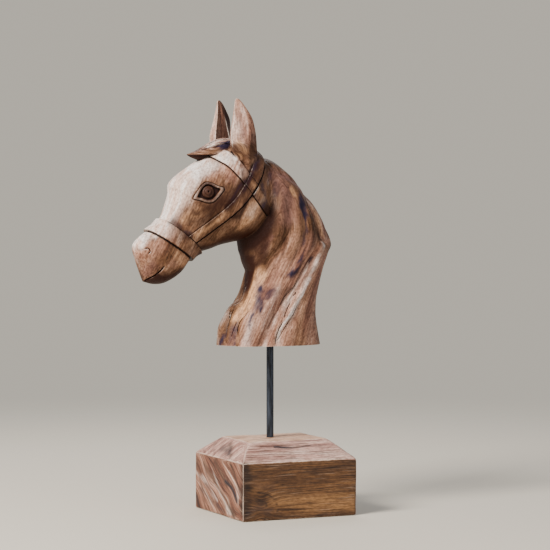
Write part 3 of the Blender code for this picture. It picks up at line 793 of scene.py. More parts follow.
def knife_cut(head, places, width, depth, closed=False):
    """A V-shaped cut along the surface, which thins out at its ends unless it is closed."""
    bm = bmesh.new()
    rows = []
    count = len(places)
    for i, (point, normal) in enumerate(places):
        before = places[(i - 1) % count if closed else max(i - 1, 0)][0]
        after = places[(i + 1) % count if closed else min(i + 1, count - 1)][0]
        run = (after - before).normalized()
        aside = run.cross(normal).normalized()
        out = aside.cross(run).normalized()
        share = 1.0 if closed else min(1.0, 0.25 + 1.6 * math.sin(math.pi * (i + 0.5) / count))
        half, deep = width / 2 * share * SCALE, depth * share * SCALE
        section = (aside * half + out * 0.1 * deep, out * deep, -aside * half + out * 0.1 * deep, -out * deep)
        rows.append([bm.verts.new(point + corner) for corner in section])
    if closed:
        rows.append(rows[0])
    for low, high in zip(rows, rows[1:]):
        for k in range(4):
            n = (k + 1) % 4
            bm.faces.new((low[k], low[n], high[n], high[k]))
    if not closed:
        bm.faces.new(rows[0][::-1])
        bm.faces.new(rows[-1])
    combine(head, "DIFFERENCE", object_from("knife_cut", bm))


def surface_tree(obj):
    return BVHTree.FromObject(obj, bpy.context.evaluated_depsgraph_get())


def inner_outline(outline, centre, share):
    return [tuple(centre[k] + (point[k] - centre[k]) * share for k in range(2)) for point in outline]


def closed_line(outline, steps):
    """A smooth closed outline through a list of corner points."""
    wrapped = [outline[-1], *outline, outline[0], outline[1]]
    rows = curve_through(wrapped, steps * (len(outline) + 2) + 1)
    return rows[steps:-steps - 1]


def cut_eye(head, form, side):
    """An almond pocket with a round eyeball in it, with a ring and a pupil, and a line cut round the lids."""
    pocket = side_prism("pocket", closed_line(inner_outline(LID_OUTLINE, EYE_CENTRE, LID_SHARE_INSIDE), 5))
    for vertex in pocket.data.vertices:
        if vertex.co.y * side < 0:
            vertex.co.y = 0
    bed = copy_of(form, "pocket_bed")
    thicken(bed, np.full(len(bed.data.vertices), -EYE_POCKET_DEPTH))
    combine(pocket, "DIFFERENCE", bed)
    combine(head, "DIFFERENCE", pocket)
    tree = surface_tree(form)
    point, normal = on_side(tree, [EYE_CENTRE], side)[0]
    bm = bmesh.new()
    bmesh.ops.create_uvsphere(bm, u_segments=56, v_segments=36, radius=EYEBALL_RADIUS * SCALE)
    ball = object_from("eyeball", bm)
    turned = normal.to_track_quat("Z", "Y").to_matrix()
    ball.data.transform(turned.to_4x4())
    centre = point - normal * (EYEBALL_RADIUS - EYEBALL_PROUD) * SCALE
    for vertex in ball.data.vertices:
        vertex.co += centre
    combine(head, "UNION", ball)
    for radius, width, depth in EYE_RINGS:
        rise = math.sqrt(EYEBALL_RADIUS**2 - radius**2)
        ring = []
        for k in range(40):
            turn = 2 * math.pi * k / 40
            spoke = turned @ Vector((radius * math.cos(turn), radius * math.sin(turn), rise))
            ring.append((centre + spoke * SCALE, spoke.normalized()))
        knife_cut(head, ring, width, depth, closed=True)
    knife_cut(head, on_side(tree, closed_line(LID_OUTLINE, 5), side), *LID_CUT, closed=True)


def drop_flaps(obj):
    """Takes out the flaps of no thickness, two faces back to back, that some cuts leave where they meet."""
    bm = bmesh.new()
    bm.from_mesh(obj.data)
    met = {}
    for face in bm.faces:
        met.setdefault(frozenset(corner.index for corner in face.verts), []).append(face)
    flaps = [face for pair in met.values() if len(pair) > 1 for face in pair]
    bmesh.ops.delete(bm, geom=flaps, context="FACES")
    bm.to_mesh(obj.data)
    bm.free()


def soften_edges(obj):
    """Takes the knife's sharpness off each edge, as sanding does, by a fraction of a millimetre."""
    mesh = obj.data
    ends = np.empty(len(mesh.edges) * 2, np.int32)
    mesh.edges.foreach_get("vertices", ends)
    ends = ends.reshape(-1, 2)
    bm = bmesh.new()
    bm.from_mesh(mesh)
    angles = np.array([edge.calc_face_angle(0.0) for edge in bm.edges])
    bm.free()
    count = np.bincount(ends.ravel(), minlength=len(mesh.vertices))
    sharp = np.zeros(len(mesh.vertices))
    np.maximum.at(sharp, ends[:, 0], angles)
    np.maximum.at(sharp, ends[:, 1], angles)
    loose = (sharp > SOFT_EDGE_ANGLE).astype(float)[:, None]
    start = drawn(obj)
    points = start.copy()
    for _ in range(3):
        total = np.zeros_like(points)
        np.add.at(total, ends[:, 0], points[ends[:, 1]])
        np.add.at(total, ends[:, 1], points[ends[:, 0]])
        points += 0.4 * loose * (total / count[:, None] - points)
    move = points - start
    length = np.linalg.norm(move, axis=1, keepdims=True)
    move *= np.minimum(1, SOFT_EDGE_MOVE / np.maximum(length, 1e-9))
    redraw(obj, start + move)


def horse_head():
    """The whole carving, with the maps of its wood that the finish reads."""
    skull, neck = head_block(), neck_block()
    head = copy_of(skull, "carved_horse_head")
    straps = [
        strap("noseband", skull, NOSEBAND_LINE, NOSEBAND_WIDTH, NOSEBAND_THICKNESS),
        strap("browband", skull, BROWBAND_LINE, BROWBAND_WIDTH, BROWBAND_THICKNESS),
        strap("cheekpiece", skull, CHEEKPIECE_LINE, CHEEKPIECE_WIDTH, CHEEKPIECE_THICKNESS, trim=0.05),
    ]
    combine(head, "UNION", neck)
    for band in straps:
        combine(head, "UNION", band)
    for line, width, edge, trim, line_width, line_depth in STRAP_LINES:
        outward = math.copysign(line_width / width, edge)
        strip = ribbon(line, width, edge - outward * 0.1, edge + outward * 0.9, trim)
        cut_strip(head, skull, strip, -line_depth)
    for tuft in (ear("left_ear", -1), ear("right_ear", 1), forelock()):
        combine(head, "UNION", tuft)
    hair = surface_tree(head)
    for line in STRAND_LINES:
        knife_cut(head, on_top(hair, curve_through(line, 20)), *STRAND_CUT)
    for side in (-1, 1):
        cut_eye(head, skull, side)
        tree = surface_tree(skull)
        knife_cut(head, on_side(tree, curve_through(MOUTH_LINE, 24), side), *MOUTH_CUT)
        knife_cut(head, on_side(tree, curve_through(NOSTRIL_LINE, 20), side), *NOSTRIL_CUT)
    whole = surface_tree(head)
    for line, width, deep in (*NECK_CUTS, *HEAD_CUTS):
        for side in (-1, 1):
            knife_cut(head, on_surface(whole, line, side), width, deep)
    depth = rod_high.z - head_low.z + FIT_GAP
    combine(head, "DIFFERENCE", turned_bar("neck_bore", ROD_RADIUS + FIT_GAP, -0.01, depth, 48))
    drop_flaps(head)
    soften_edges(head)
    paint_maps(head, surface_tree(skull))
    bpy.data.objects.remove(skull, do_unlink=True)
    head.location = NECK_UNDERSIDE
    head.data.shade_smooth()
    head.data.set_sharp_from_angle(angle=math.radians(42))
    return head


def turned_bar(name, radius, low, high, sides):
    """An upright round bar on the z axis."""
    bm = bmesh.new()
    bmesh.ops.create_cone(bm, cap_ends=True, segments=sides, radius1=radius, radius2=radius, depth=high - low)
    bmesh.ops.translate(bm, verts=bm.verts, vec=(0, 0, (low + high) / 2))
    return object_from(name, bm)


def streak(points, streaks):
    """The strongest of some coloured lines at each point, 1 in the middle of a full one."""
    total = np.zeros(len(points))
    for line, width, strength in streaks:
        total = np.maximum(total, strength * np.exp(-((distance_along(points, line) / width) ** 2)))
    return total


def closeness(obj, reach, rays):
    """How much of the wood around each point stands within reach of it, from 0 in the open to 1 in a slot."""
    tree = surface_tree(obj)
    points, normals = drawn(obj) * SCALE, facing(obj)
    # The lines of sight spread evenly over the half ball in front of each point, but for its flattest part
    spread = []
    for k in range(rays):
        height = 1 - (k + 0.5) / rays * 0.85
        turn = k * math.pi * (3 - math.sqrt(5))
        flat = math.sqrt(1 - height**2)
        spread.append((flat * math.cos(turn), flat * math.sin(turn), height))
    spread = np.array(spread)
    helper = np.where(np.abs(normals[:, 2:3]) < 0.9, (0.0, 0.0, 1.0), (1.0, 0.0, 0.0))
    first = np.cross(normals, helper)
    first /= np.linalg.norm(first, axis=1, keepdims=True)
    second = np.cross(normals, first)
    starts = (points + normals * 0.08 * MM).tolist()
    total = np.zeros(len(points))
    for flat_x, flat_y, up in spread:
        ways = (first * flat_x + second * flat_y + normals * up).tolist()
        hits = [tree.ray_cast(start, way, reach)[3] for start, way in zip(starts, ways)]
        total += np.array([0.0 if hit is None else 1 - hit / reach for hit in hits])
    return total / rays


def crests(obj):
    """1 at points on a sharp outer edge, where sanding and handling wear the wood pale."""
    bm = bmesh.new()
    bm.from_mesh(obj.data)
    found = np.zeros(len(bm.verts))
    for edge in bm.edges:
        if edge.is_manifold:
            angle = edge.calc_face_angle_signed(0.0)
            for vertex in edge.verts:
                found[vertex.index] = max(found[vertex.index], angle)
    bm.free()
    return smooth_step(found, math.radians(22), math.radians(60))


def spread_out(mesh, values, rounds):
    """Evens a map out between neighbouring points."""
    ends = np.empty(len(mesh.edges) * 2, np.int32)
    mesh.edges.foreach_get("vertices", ends)
    ends = ends.reshape(-1, 2)
    count = np.bincount(ends.ravel(), minlength=len(mesh.vertices))
    for _ in range(rounds):
        total = np.zeros_like(values)
        np.add.at(total, ends[:, 0], values[ends[:, 1]])
        np.add.at(total, ends[:, 1], values[ends[:, 0]])
        values = (values + total / count) / 2
    return values


def store(mesh, name, values):
    """Keeps one map on the mesh, for the finish to read by name."""
    kind, key = ("FLOAT_VECTOR", "vector") if values.ndim == 2 else ("FLOAT", "value")
    made = mesh.attributes.new(name, kind, "POINT")
    made.data.foreach_set(key, values.astype(np.float32).ravel())


def wood_places(head, skull_tree):
    """Where each point of the carving lies: in the grain, over or under the bare skull, and on the tufts,
    which are the ears and the forelock."""
    points, normals = drawn(head), facing(head)
    nearest = [skull_tree.find_nearest(place)[:2] for place in (points * SCALE).tolist()]
    feet, ways = (np.array([tuple(pair[k]) for pair in nearest]) for k in (0, 1))
    gap = points - feet / SCALE
    off_skull = np.linalg.norm(gap, axis=1)
    on_tuft = smooth_step(points[:, 2], 206, 222) * smooth_step(-points[:, 0], 20, 34)
    on_tuft *= smooth_step(off_skull, 2, 9)
    grain = grain_of(points, np.maximum(smooth_step(-off_skull, -12, -3), on_tuft), on_tuft)
    wander = np.stack([waves(grain, STREAK_WAVES, seed) for seed in (11, 12, 13)], axis=1)
    ragged = points + STREAK_WANDER * wander
    blots = np.stack([waves(grain, BLOT_WAVES, seed) for seed in (14, 15, 16)], axis=1)
    return SimpleNamespace(
        points=points,
        normals=normals,
        aside=np.abs(points[:, 1]),
        off_skull=off_skull,
        sunken=-np.einsum("ij,ij->i", gap, ways),
        on_tuft=on_tuft,
        grain=grain,
        wander=wander,
        ragged=ragged,
        blotted=ragged + BLOT_WANDER * blots,
        weathered_and_lit=normals @ WEATHER_AND_LIGHT_SIDE,
        from_eye=np.hypot(points[:, 0] - EYE_CENTRE[0], points[:, 2] - EYE_CENTRE[1]),
    )


def on_face(wood):
    """The plane of the face, in front of the eye, which fades out more slowly above it."""
    edge = curve_through(PALE_FACE_EDGE, 40)
    in_front = np.interp(wood.ragged[:, 2], edge[:, 1], edge[:, 0]) - wood.ragged[:, 0]
    slower = 12 * smooth_step(wood.points[:, 2], 165, 190)
    return smooth_step(in_front, -12 - slower, 20 + slower) * smooth_step(wood.off_skull, 6, 3)


def on_muzzle(wood):
    beyond_noseband = smooth_step(-(wood.points @ MUZZLE_WAY), *MUZZLE_EDGE)
    return beyond_noseband * smooth_step(-wood.points[:, 0], 96, 106)


def on_eyeball(wood):
    return smooth_step(-wood.from_eye, -12, -9)


def beside(wood, line):
    """How far each point is from a strap's middle line, seen from the side."""
    return line_distance(wood.points[:, [0, 2]], curve_through(line, 30)[:, :2])


def weathered_and_lit_places(wood):
    """Weathered wood and painted light: face and muzzle where they turn to the weather and light side, the
    straps and the lids' rims.
    """
    pale = np.maximum(0.95 * on_face(wood), 0.35 * wood.on_tuft) * smooth_step(wood.weathered_and_lit, 0.0, 0.7)
    for line, width, most in PALED_STRAPS:
        band = smooth_step(-beside(wood, line), -0.62 * width, -0.45 * width)
        band *= smooth_step(-wood.sunken, 1.0, 1.8) * smooth_step(wood.sunken, -5.0, -4.0)
        paled = 0.1 + most * smooth_step(wood.weathered_and_lit + 0.12 * wood.wander[:, 0], 0.0, 1.0)
        pale = pale * (1 - band) + band * paled
    width = CHEEKPIECE_WIDTH
    cheekpiece = smooth_step(-beside(wood, CHEEKPIECE_LINE), -0.6 * width, -0.5 * width)
    pale *= 1 - 0.8 * cheekpiece * smooth_step(-wood.sunken, 1.4, 2.0)
    muzzle = on_muzzle(wood)
    pale = pale * (1 - muzzle) + muzzle * smooth_step(wood.weathered_and_lit + 0.15 * wood.wander[:, 1], 0.5, 1.05)
    lids = lid_rims(wood.points) / LID_RIM_HEIGHT
    lids *= smooth_step(-wood.sunken, -0.8, 0.2) * smooth_step(wood.off_skull, 3, 2)
    return np.maximum(pale, 0.3 * lids)


def sapwood_places(wood):
    """Sapwood: the ears above their feet and the forelock, with painted shade where they turn from the light,
    and the face.
    """
    above_foot = np.where(wood.aside > 19, smooth_step(wood.ragged[:, 2], 214, 222), 1)
    tufts = wood.on_tuft * above_foot * smooth_step(wood.weathered_and_lit, -1.4, 0.35)
    return np.maximum(tufts, 0.8 * on_face(wood) * (1 - on_muzzle(wood)))


def dark_wood_and_painted_shade(wood):
    """Painted shade on undersides, the ears' hollows and backs, eye pockets, and below forelock, mouth and
    jaw; dark wood at the ears' feet and eyes.
    """
    x, y, z = wood.points.T
    # Painted shade on the faces that turn down, and on the ears' inner faces and backs
    underside = smooth_step(-wood.normals[:, 2], 0.25, 0.95) * smooth_step(z, 6, 20)
    inner_ear = wood.on_tuft * smooth_step(-wood.normals[:, 1] * np.sign(y), 0.2, 0.8)
    inner_ear *= smooth_step(wood.aside, 14, 19) * (0.3 + 0.6 * smooth_step(x, -53, -41))
    back_of_ear = wood.on_tuft * smooth_step(wood.normals[:, 0], 0.0, 0.6)
    foot_top = 218 + 12 * smooth_step(x, -50, -39)
    ear_foot = smooth_step(foot_top - wood.ragged[:, 2], -3, 3) * smooth_step(z, 192, 200)
    ear_foot *= smooth_step(wood.off_skull, 2, 7) * smooth_step(wood.aside, 17, 22)
    # Painted shadow below the forelock's tip
    below_lock = smooth_step(-z, -207.4, -206.4) * smooth_step(z, 197, 200) * smooth_step(-x, 74, 80)
    below_lock *= smooth_step(-wood.aside, -15, -12) * smooth_step(wood.off_skull, 0.2, 0.8)
    # Painted shadow, over darker wood, on the neck where it meets the jaw, wider and darker lower down
    low = smooth_step(-wood.ragged[:, 2], -165, -118)
    behind_jaw = (0.75 + 0.9 * low) * np.exp(-((wood.off_skull / (4 + 13 * low)) ** 2))
    behind_jaw *= smooth_step(wood.off_skull, 0.4, 1.4) * (x > -50)
    # Painted shade on the chin, below the mouth
    edge = np.array(CHIN_EDGE)
    below_mouth = np.interp(wood.ragged[:, 0], edge[:, 0], edge[:, 1]) - wood.ragged[:, 2]
    softness = 1 + 3 * smooth_step(wood.ragged[:, 0], -140, -120)
    chin = smooth_step(below_mouth / softness, -1, 3) * smooth_step(-x, 92, 104)
    # Painted shade in the eye's pocket round the eyeball
    eye_pocket = smooth_step(wood.sunken, 1.0, 2.2) * smooth_step(-wood.from_eye, -19, -16)
    strengths = (
        (underside, 1.1),
        (inner_ear, 1.0),
        (back_of_ear, 0.24),
        (ear_foot, 0.62),
        (below_lock, 1.4),
        (behind_jaw, 1.0),
        (chin, 1.3),
        (eye_pocket, 1.0),
        (on_eyeball(wood), 0.7),
    )
    return np.max([places * strength for places, strength in strengths], axis=0)


def handled_and_lit_places(wood):
    """Where hands and sandpaper reach sharp edges: on the straps, with a painted highlight on the edges that
    face the light, the ears and forelock, and the neck.
    """
    straps = smooth_step(-wood.sunken, 1.2, 1.8) * smooth_step(-wood.off_skull, -5, -3.6)
    straps *= 0.5 * smooth_step(wood.weathered_and_lit, -0.4, 0.6)
    return np.max([straps, wood.on_tuft, 0.6 * smooth_step(wood.off_skull, 14, 20)], axis=0)


def paint_maps(head, skull_tree):
    """Stores the carving's grain, its colours with painted shade and light, the dirt and painted shade in its
    hollows, and its worn edges.
    """
    mesh = head.data
    wood = wood_places(head, skull_tree)
    store(mesh, "grain", wood.grain)
    broad_places = {
        "pale": weathered_and_lit_places(wood),
        "sap": sapwood_places(wood),
        "umber": dark_wood_and_painted_shade(wood),
        "stain": 0.28 * on_eyeball(wood),
    }
    for name, streaks in STREAKS.items():
        marked = streak(wood.blotted if name == "stain" else wood.ragged, streaks)
        store(mesh, name, np.maximum(broad_places.get(name, 0), marked))
    rays = SIGHT_LINES
    # Dirt and painted shade, darker where more wood stands close round a point
    store(mesh, "dirt_and_shade", spread_out(mesh, closeness(head, DIRT_AND_SHADE_REACH, rays), 1))
    # Worn edges, with a painted highlight on the straps' edges that face the light
    store(mesh, "worn", spread_out(mesh, crests(head), 1) * handled_and_lit_places(wood))


# Plinth: how far the upper edges are cut back, and how finely the block is meshed
CHAMFER_DROP = 19.5 * MM
CHAMFER_RUN_X, CHAMFER_RUN_Y = 20 * MM, 31 * MM
PLINTH_COUNTS = (98, 96, 44, 26)
# How round its edges are worn, how much more in places, and how wavy the saw left its faces
EDGE_WEAR, EDGE_WEAR_MORE = 0.7 * MM, 0.9 * MM
SAW_WAVE = 0.25 * MM
# The marks of the block's wood: lines x, y, z in millimetres with a width and a strength
PLINTH_STREAKS = {
    "stain": (
        (((-62, -66, 10), (-50, -66, 13), (-36, -66, 9)), 6.0, 0.5),
        (((-67, -20, 40), (-67, -38, 34), (-67, -52, 22)), 3.0, 0.9),
        (((-67, 52, 22), (-67, 20, 12), (-67, -14, 4)), 4.0, 0.55),
        (((-20, -44, 76), (0, -46, 74), (22, -44, 76)), 2.6, 0.9),
        (((-52, -58, 66), (-40, -50, 70)), 3.0, 0.5),
        (((-30, -66, 34), (-52, -66, 36)), 7.0, 0.4),
        (((20, -66, 3), (44, -66, 4)), 4.0, 0.5),
        (((67, 30, 40), (67, 0, 30), (67, -40, 26)), 5.0, 0.7),
        (((-30, 66, 20), (10, 66, 24)), 6.0, 0.6),
        (((-58, 10, 72), (-60, -16, 70)), 8.0, 0.6),
    ),
    "umber": (
        (((-66, -66, 58), (-64, -66, 40), (-66, -66, 10)), 9.0, 1.1),
        (((-60, -66, 56), (0, -66, 54), (60, -66, 52)), 4.0, 0.5),
        (((-30, -66, 34), (10, -66, 31), (60, -66, 27)), 2.0, 0.6),
        (((-58, -66, 26), (-50, -66, 30), (-38, -66, 27), (-28, -66, 18), (-26, -66, 8)), 1.8, 1.0),
        (((-60, -66, 18), (-52, -66, 21), (-43, -66, 19), (-37, -66, 12)), 1.6, 1.0),
        (((-40, -66, 5), (-10, -66, 3), (30, -66, 4)), 3.0, 0.7),
        (((-67, 40, 52), (-67, 10, 36), (-67, -20, 18), (-67, -40, 6)), 4.5, 0.9),
        (((-67, 10, 58), (-67, -8, 46), (-67, -24, 36)), 5.0, 0.9),
        (((-67, 62, 50), (-67, 50, 34), (-67, 38, 8)), 4.0, 0.7),
        (((-67, -34, 60), (-67, -50, 44), (-67, -60, 30)), 3.6, 0.9),
        (((-56, 40, 72), (-62, 24, 68), (-66, 14, 64)), 4.0, 0.6),
        (((-52, 0, 76), (-59, -14, 71), (-65, -24, 66)), 4.0, 0.8),
        (((67, 50, 48), (67, 10, 44), (67, -50, 50)), 5.0, 0.8),
    ),
    "gold": (
        (((-30, -66, 22), (10, -66, 20), (60, -66, 17)), 10.0, 0.8),
        (((10, -66, 12), (40, -66, 8)), 8.0, 0.6),
        (((-40, 66, 40), (40, 66, 34)), 10.0, 0.7),
    ),
    "pale": (
        (((-67, 60, 40), (-67, 30, 28), (-67, 6, 14)), 3.0, 0.8),
        (((-67, 10, 30), (-67, -10, 20), (-67, -24, 10)), 1.8, 0.9),
        (((-67, -30, 50), (-67, -46, 36), (-67, -56, 20)), 2.4, 0.7),
        (((-67, -26, 9), (-67, -30, 7)), 4.6, 1.5),
        (((-67, 24, 56), (-67, 8, 40), (-67, -4, 28)), 2.4, 0.9),
        (((-40, -52, 71), (0, -54, 70), (56, -58, 67)), 6.0, 0.5),
    ),
}
# Knots: x, y, z in millimetres, reach, and how far the fibres part round them
KNOTS = ((-46, -66, 12, 13, 10), (-67.5, -26, 8, 4, 5), (44, 66, 30, 11, 8), (67.5, 20, 40, 8, 6))
# How steeply the block's rings slant on its ends, and the share of its width that counts in their pattern
# there, so that each ring runs right across
RING_SLOPE = 0.62
END_WIDTH_SHARE = 0.08
# Those rings wander this far, in waves this long, and so do the edges of the marks
RING_WANDER, RING_WAVES = 7, (40, 32, 24)
MARK_WANDER, MARK_WAVES = 5, (30, 10, 8)


def sawn_faces():
    """The ten faces of the block, four of them chamfers: their corners, and how finely each is meshed."""
    centre = (plinth_low + plinth_high) / 2
    half_x, half_y = (plinth_high.x - plinth_low.x) / 2, (plinth_high.y - plinth_low.y) / 2
    levels = (
        (plinth_low.z, half_x, half_y),
        (plinth_high.z - CHAMFER_DROP, half_x, half_y),
        (plinth_high.z, half_x - CHAMFER_RUN_X, half_y - CHAMFER_RUN_Y),
    )
    rows = [
        [Vector((centre.x + i * x, centre.y + j * y, z)) for i, j in ((-1, -1), (1, -1), (1, 1), (-1, 1))]
        for z, x, y in levels
    ]
    count_x, count_y, count_side, count_chamfer = PLINTH_COUNTS
    faces = [(*rows[0][::-1], count_x, count_y), (*rows[2], count_x, count_y)]
    for low, high, count_up in ((rows[0], rows[1], count_side), (rows[1], rows[2], count_chamfer)):
        for k in range(4):
            n = (k + 1) % 4
            faces.append((low[k], low[n], high[n], high[k], (count_x, count_y)[k % 2], count_up))
    return faces


def wear_edges(points, sides):
    """Rounds the block's edges, more in some places. Gives the points, and the way that each then faces."""
    wear = EDGE_WEAR + EDGE_WEAR_MORE * np.clip(waves(points, (0.02, 0.02, 0.02), 3) + 0.2, 0, 1)
    for _ in range(3):
        reach = points @ sides[:, :3].T - sides[:, 3]
        weight = np.exp(np.clip(reach / wear[:, None], -60, 10))
        over = wear * np.log(weight.sum(axis=1))
        out = weight @ sides[:, :3]
        out /= np.linalg.norm(out, axis=1, keepdims=True)
        points = points - out * over[:, None]
    return points, out


def plinth_block():
    """A sawn block with its upper edges cut back and every edge rounded by wear."""
    bm = bmesh.new()
    sides = []
    for a, b, c, d, count_u, count_v in sawn_faces():
        near = [a.lerp(b, i / count_u) for i in range(count_u + 1)]
        far = [d.lerp(c, i / count_u) for i in range(count_u + 1)]
        grid = [
            [bm.verts.new(start.lerp(end, j / count_v)) for start, end in zip(near, far)]
            for j in range(count_v + 1)
        ]
        for low, high in zip(grid, grid[1:]):
            for i in range(count_u):
                bm.faces.new((low[i], low[i + 1], high[i + 1], high[i]))
        out = (b - a).cross(d - a).normalized()
        sides.append((*out, out.dot(a)))
    bmesh.ops.remove_doubles(bm, verts=bm.verts, dist=0.01 * MM)
    block = object_from("sawn_plinth", bm)
    sides = np.array(sides)
    points, out = wear_edges(drawn(block) * SCALE, sides)
    # The saw's waves fade out at the foot, and the block stands flat
    lift = smooth_step(points[:, 2], 2 * MM, 6 * MM)
    points += out * (SAW_WAVE * lift * waves(points, (0.05, 0.03, 0.012), 7))[:, None]
    points[:, 2] = np.maximum(points[:, 2], plinth_low.z)
    redraw(block, points / SCALE)
    bore_low = rod_low.z - FIT_GAP
    bore = turned_bar("plinth_bore", ROD_RADIUS + FIT_GAP, bore_low, plinth_high.z + 0.01, 48)
    bore.data.transform(Matrix.Translation((ROD_CENTRE.x, ROD_CENTRE.y, 0)))
    combine(block, "DIFFERENCE", bore)
    plinth_maps(block, sides)
    block.data.shade_smooth()
    block.data.set_sharp_from_angle(angle=math.radians(50))
    return block


def plinth_maps(block, sides):
    """Stores the block's grain, bent round the knots, its faces, its marks and its worn edges."""
    mesh = block.data
    points, normals = drawn(block) * SCALE / MM, facing(block)
    reach = np.sort(points * MM @ sides[:, :3].T - sides[:, 3], axis=1) / MM
    store(mesh, "worn", smooth_step(reach[:, -2], -1.9, -0.3))
    grain = points.copy()
    for x, y, z, size, parting in KNOTS:
        away = grain - (x, y, z)
        distance = np.linalg.norm(away, axis=1)
        near = np.exp(-((distance / (1.6 * size)) ** 2))
        grain = grain + away * (parting * near / (distance + 2))[:, None] * (0, 1, 1)
    on_end = smooth_step(np.abs(normals[:, 0]), 0.3, 0.8)
    on_chamfer = smooth_step(normals[:, 2], 0.2, 0.4)
    grain[:, 2] -= RING_SLOPE * points[:, 1] * on_end * (1 - 3 * on_chamfer)
    grain[:, 2] += RING_WANDER * waves(points, RING_WAVES, 9) * on_end
    grain[:, 1] *= 1 - (1 - END_WIDTH_SHARE) * on_end
    store(mesh, "grain", grain)
    store(mesh, "end", on_end * (1 - on_chamfer))
    store(mesh, "chamfer", on_chamfer)
    store(mesh, "top", smooth_step(normals[:, 2], 0.9, 0.98))
    wander = np.stack([waves(grain, MARK_WAVES, seed) for seed in (21, 22, 23)], axis=1)
    ragged = points + MARK_WANDER * wander
    for name, streaks in PLINTH_STREAKS.items():
        total = np.zeros(len(points))
        for line, width, strength in streaks:
            total = np.maximum(total, strength * np.exp(-((space_distance(ragged, line) / width) ** 2)))
        store(mesh, name, total)


# The rod's brushed paint is uneven by this much, in waves this long, and stays inside the rod's own radius
PAINT_UNEVEN, PAINT_WAVE, PAINT_ROOM = 0.05 * MM, 4 * MM, 0.06 * MM


def steel_rod():
    """The bar that holds the head up: round, with the faint waviness of hand-brushed black paint."""
    bm = bmesh.new()
    count, sides = 160, 40
    rows = []
    for i in range(count + 1):
        z = rod_low.z + (rod_high.z - rod_low.z) * i / count
        row = []
        for k in range(sides):
            turn = 2 * math.pi * k / sides
            spoke = Vector((math.cos(turn), math.sin(turn), 0))
            uneven = PAINT_UNEVEN * noise.noise(Vector((spoke.x * 1.5, spoke.y * 1.5, z / PAINT_WAVE)))
            place = ROD_CENTRE.xy.to_3d() + spoke * (ROD_RADIUS - PAINT_ROOM + uneven)
            place.z = z
            row.append(bm.verts.new(place))
        rows.append(row)
    for low, high in zip(rows, rows[1:]):
        for k in range(sides):
            n = (k + 1) % sides
            bm.faces.new((low[k], low[n], high[n], high[k]))
    bm.faces.new(rows[0][::-1])
    bm.faces.new(rows[-1])
    rod = object_from("blackened_rod", bm)
    rod.data.shade_smooth()
    rod.data.set_sharp_from_angle(angle=math.radians(40))
    return rod


def linear(code):
    """An sRGB hex colour as linear red, green, blue and alpha."""
    parts = [int(code[i:i + 2], 16) / 255 for i in (1, 3, 5)]
    return (*(part / 12.92 if part <= 0.04045 else ((part + 0.055) / 1.055) ** 2.4 for part in parts), 1.0)


def add(tree, kind, inputs=(), stops=(), **settings):
    """Adds a node. inputs holds sockets, each with a value, a hex colour or another node's output, stops a
    ramp's places and hex colours, and settings the node's own properties."""
    made = tree.nodes.new(kind)
    for key, value in settings.items():
        setattr(made, key, value)
    for socket, value in inputs:
        if isinstance(value, bpy.types.NodeSocket):
            tree.links.new(value, made.inputs[socket])
        else:
            made.inputs[socket].default_value = linear(value) if isinstance(value, str) else value
    for number, (place, code) in enumerate(stops):
        elements = made.color_ramp.elements
        made.color_ramp.interpolation = "EASE"
        stop = elements[number] if number < len(elements) else elements.new(place)
        stop.position = place
        stop.color = linear(code)
    return made


def new_finish(name):
    made = bpy.data.materials.new(name)
    made.use_nodes = True
    return made, made.node_tree, made.node_tree.nodes["Principled BSDF"]


def in_the_wood(tree, sizes_mm, detail, distortion=0.0):
    """A cloudy pattern in the wood, of these sizes along the fibres, across them and into the block."""
    grain = add(tree, "ShaderNodeAttribute", attribute_name="grain").outputs["Vector"]
    per_mm = tuple(1 / size for size in sizes_mm)
    stretched = add(tree, "ShaderNodeVectorMath", ((0, grain), (1, per_mm)), operation="MULTIPLY").outputs[0]
    shape = (("Scale", 1.0), ("Detail", detail), ("Roughness", 0.58), ("Distortion", distortion))
    return add(tree, "ShaderNodeTexNoise", (("Vector", stretched), *shape)).outputs["Fac"]


def ring_lines(tree, sizes_mm, count):
    """Thin lines where the wood's yearly rings meet the surface: 0 between them and 1 on them."""
    height = in_the_wood(tree, sizes_mm, 2, 0.3)
    turns = add(tree, "ShaderNodeMath", ((0, height), (1, count)), operation="MULTIPLY").outputs[0]
    saw = add(tree, "ShaderNodeMath", ((0, turns), (1, 1.0)), operation="PINGPONG").outputs[0]
    return add(tree, "ShaderNodeMapRange", ((0, saw), (1, 0.80), (2, 0.98))).outputs[0]


def feathered(tree, map_name, figure, feather, low, high):
    """How strongly a stored map tells, from 0 to 1, with edges that break up along the wood's own figure."""
    stored = add(tree, "ShaderNodeAttribute", attribute_name=map_name).outputs["Fac"]
    broken = add(tree, "ShaderNodeMath", ((0, figure), (1, feather), (2, stored)), operation="MULTIPLY_ADD")
    limits = ((0, broken.outputs[0]), (1, low + feather / 2), (2, high + feather / 2))
    return add(tree, "ShaderNodeMapRange", limits, interpolation_type="SMOOTHSTEP").outputs[0]


def lay_over(tree, colour, coats):
    """Lays coats of colour over the bare wood, one after another. Each says what it is, how much of it lies
    at each place, and how it mixes, if it doesn't simply cover."""
    for coat, share, *how in coats:
        laid = ((0, share), (6, colour), (7, coat))
        way = how[0] if how else "MIX"
        colour = add(tree, "ShaderNodeMix", laid, data_type="RGBA", blend_type=way).outputs[2]
    return colour


# Tones of the carving's wood, from dark to light: where along the figure, and which colour
HEARTWOOD = ((0.33, "#43291a"), (0.43, "#68482f"), (0.51, "#866147"), (0.60, "#a27d62"), (0.72, "#b7977d"))
SAPWOOD = ((0.33, "#74493a"), (0.43, "#a37460"), (0.51, "#c2937b"), (0.60, "#d4ab96"), (0.72, "#e4c6b4"))
WEATHERED_AND_LIT_WOOD = ((0.36, "#c39580"), (0.46, "#edd2c2"), (0.56, "#fffaf5"))
# What its fibres and flecks let through of the colour below
FIBRE_SHADE = ((0.34, "#7d6a60"), (0.484, "#ddd3cd"), (0.66, "#ffffff"))
FLECK_SHADE = ((0.32, "#857369"), (0.62, "#ffffff"))


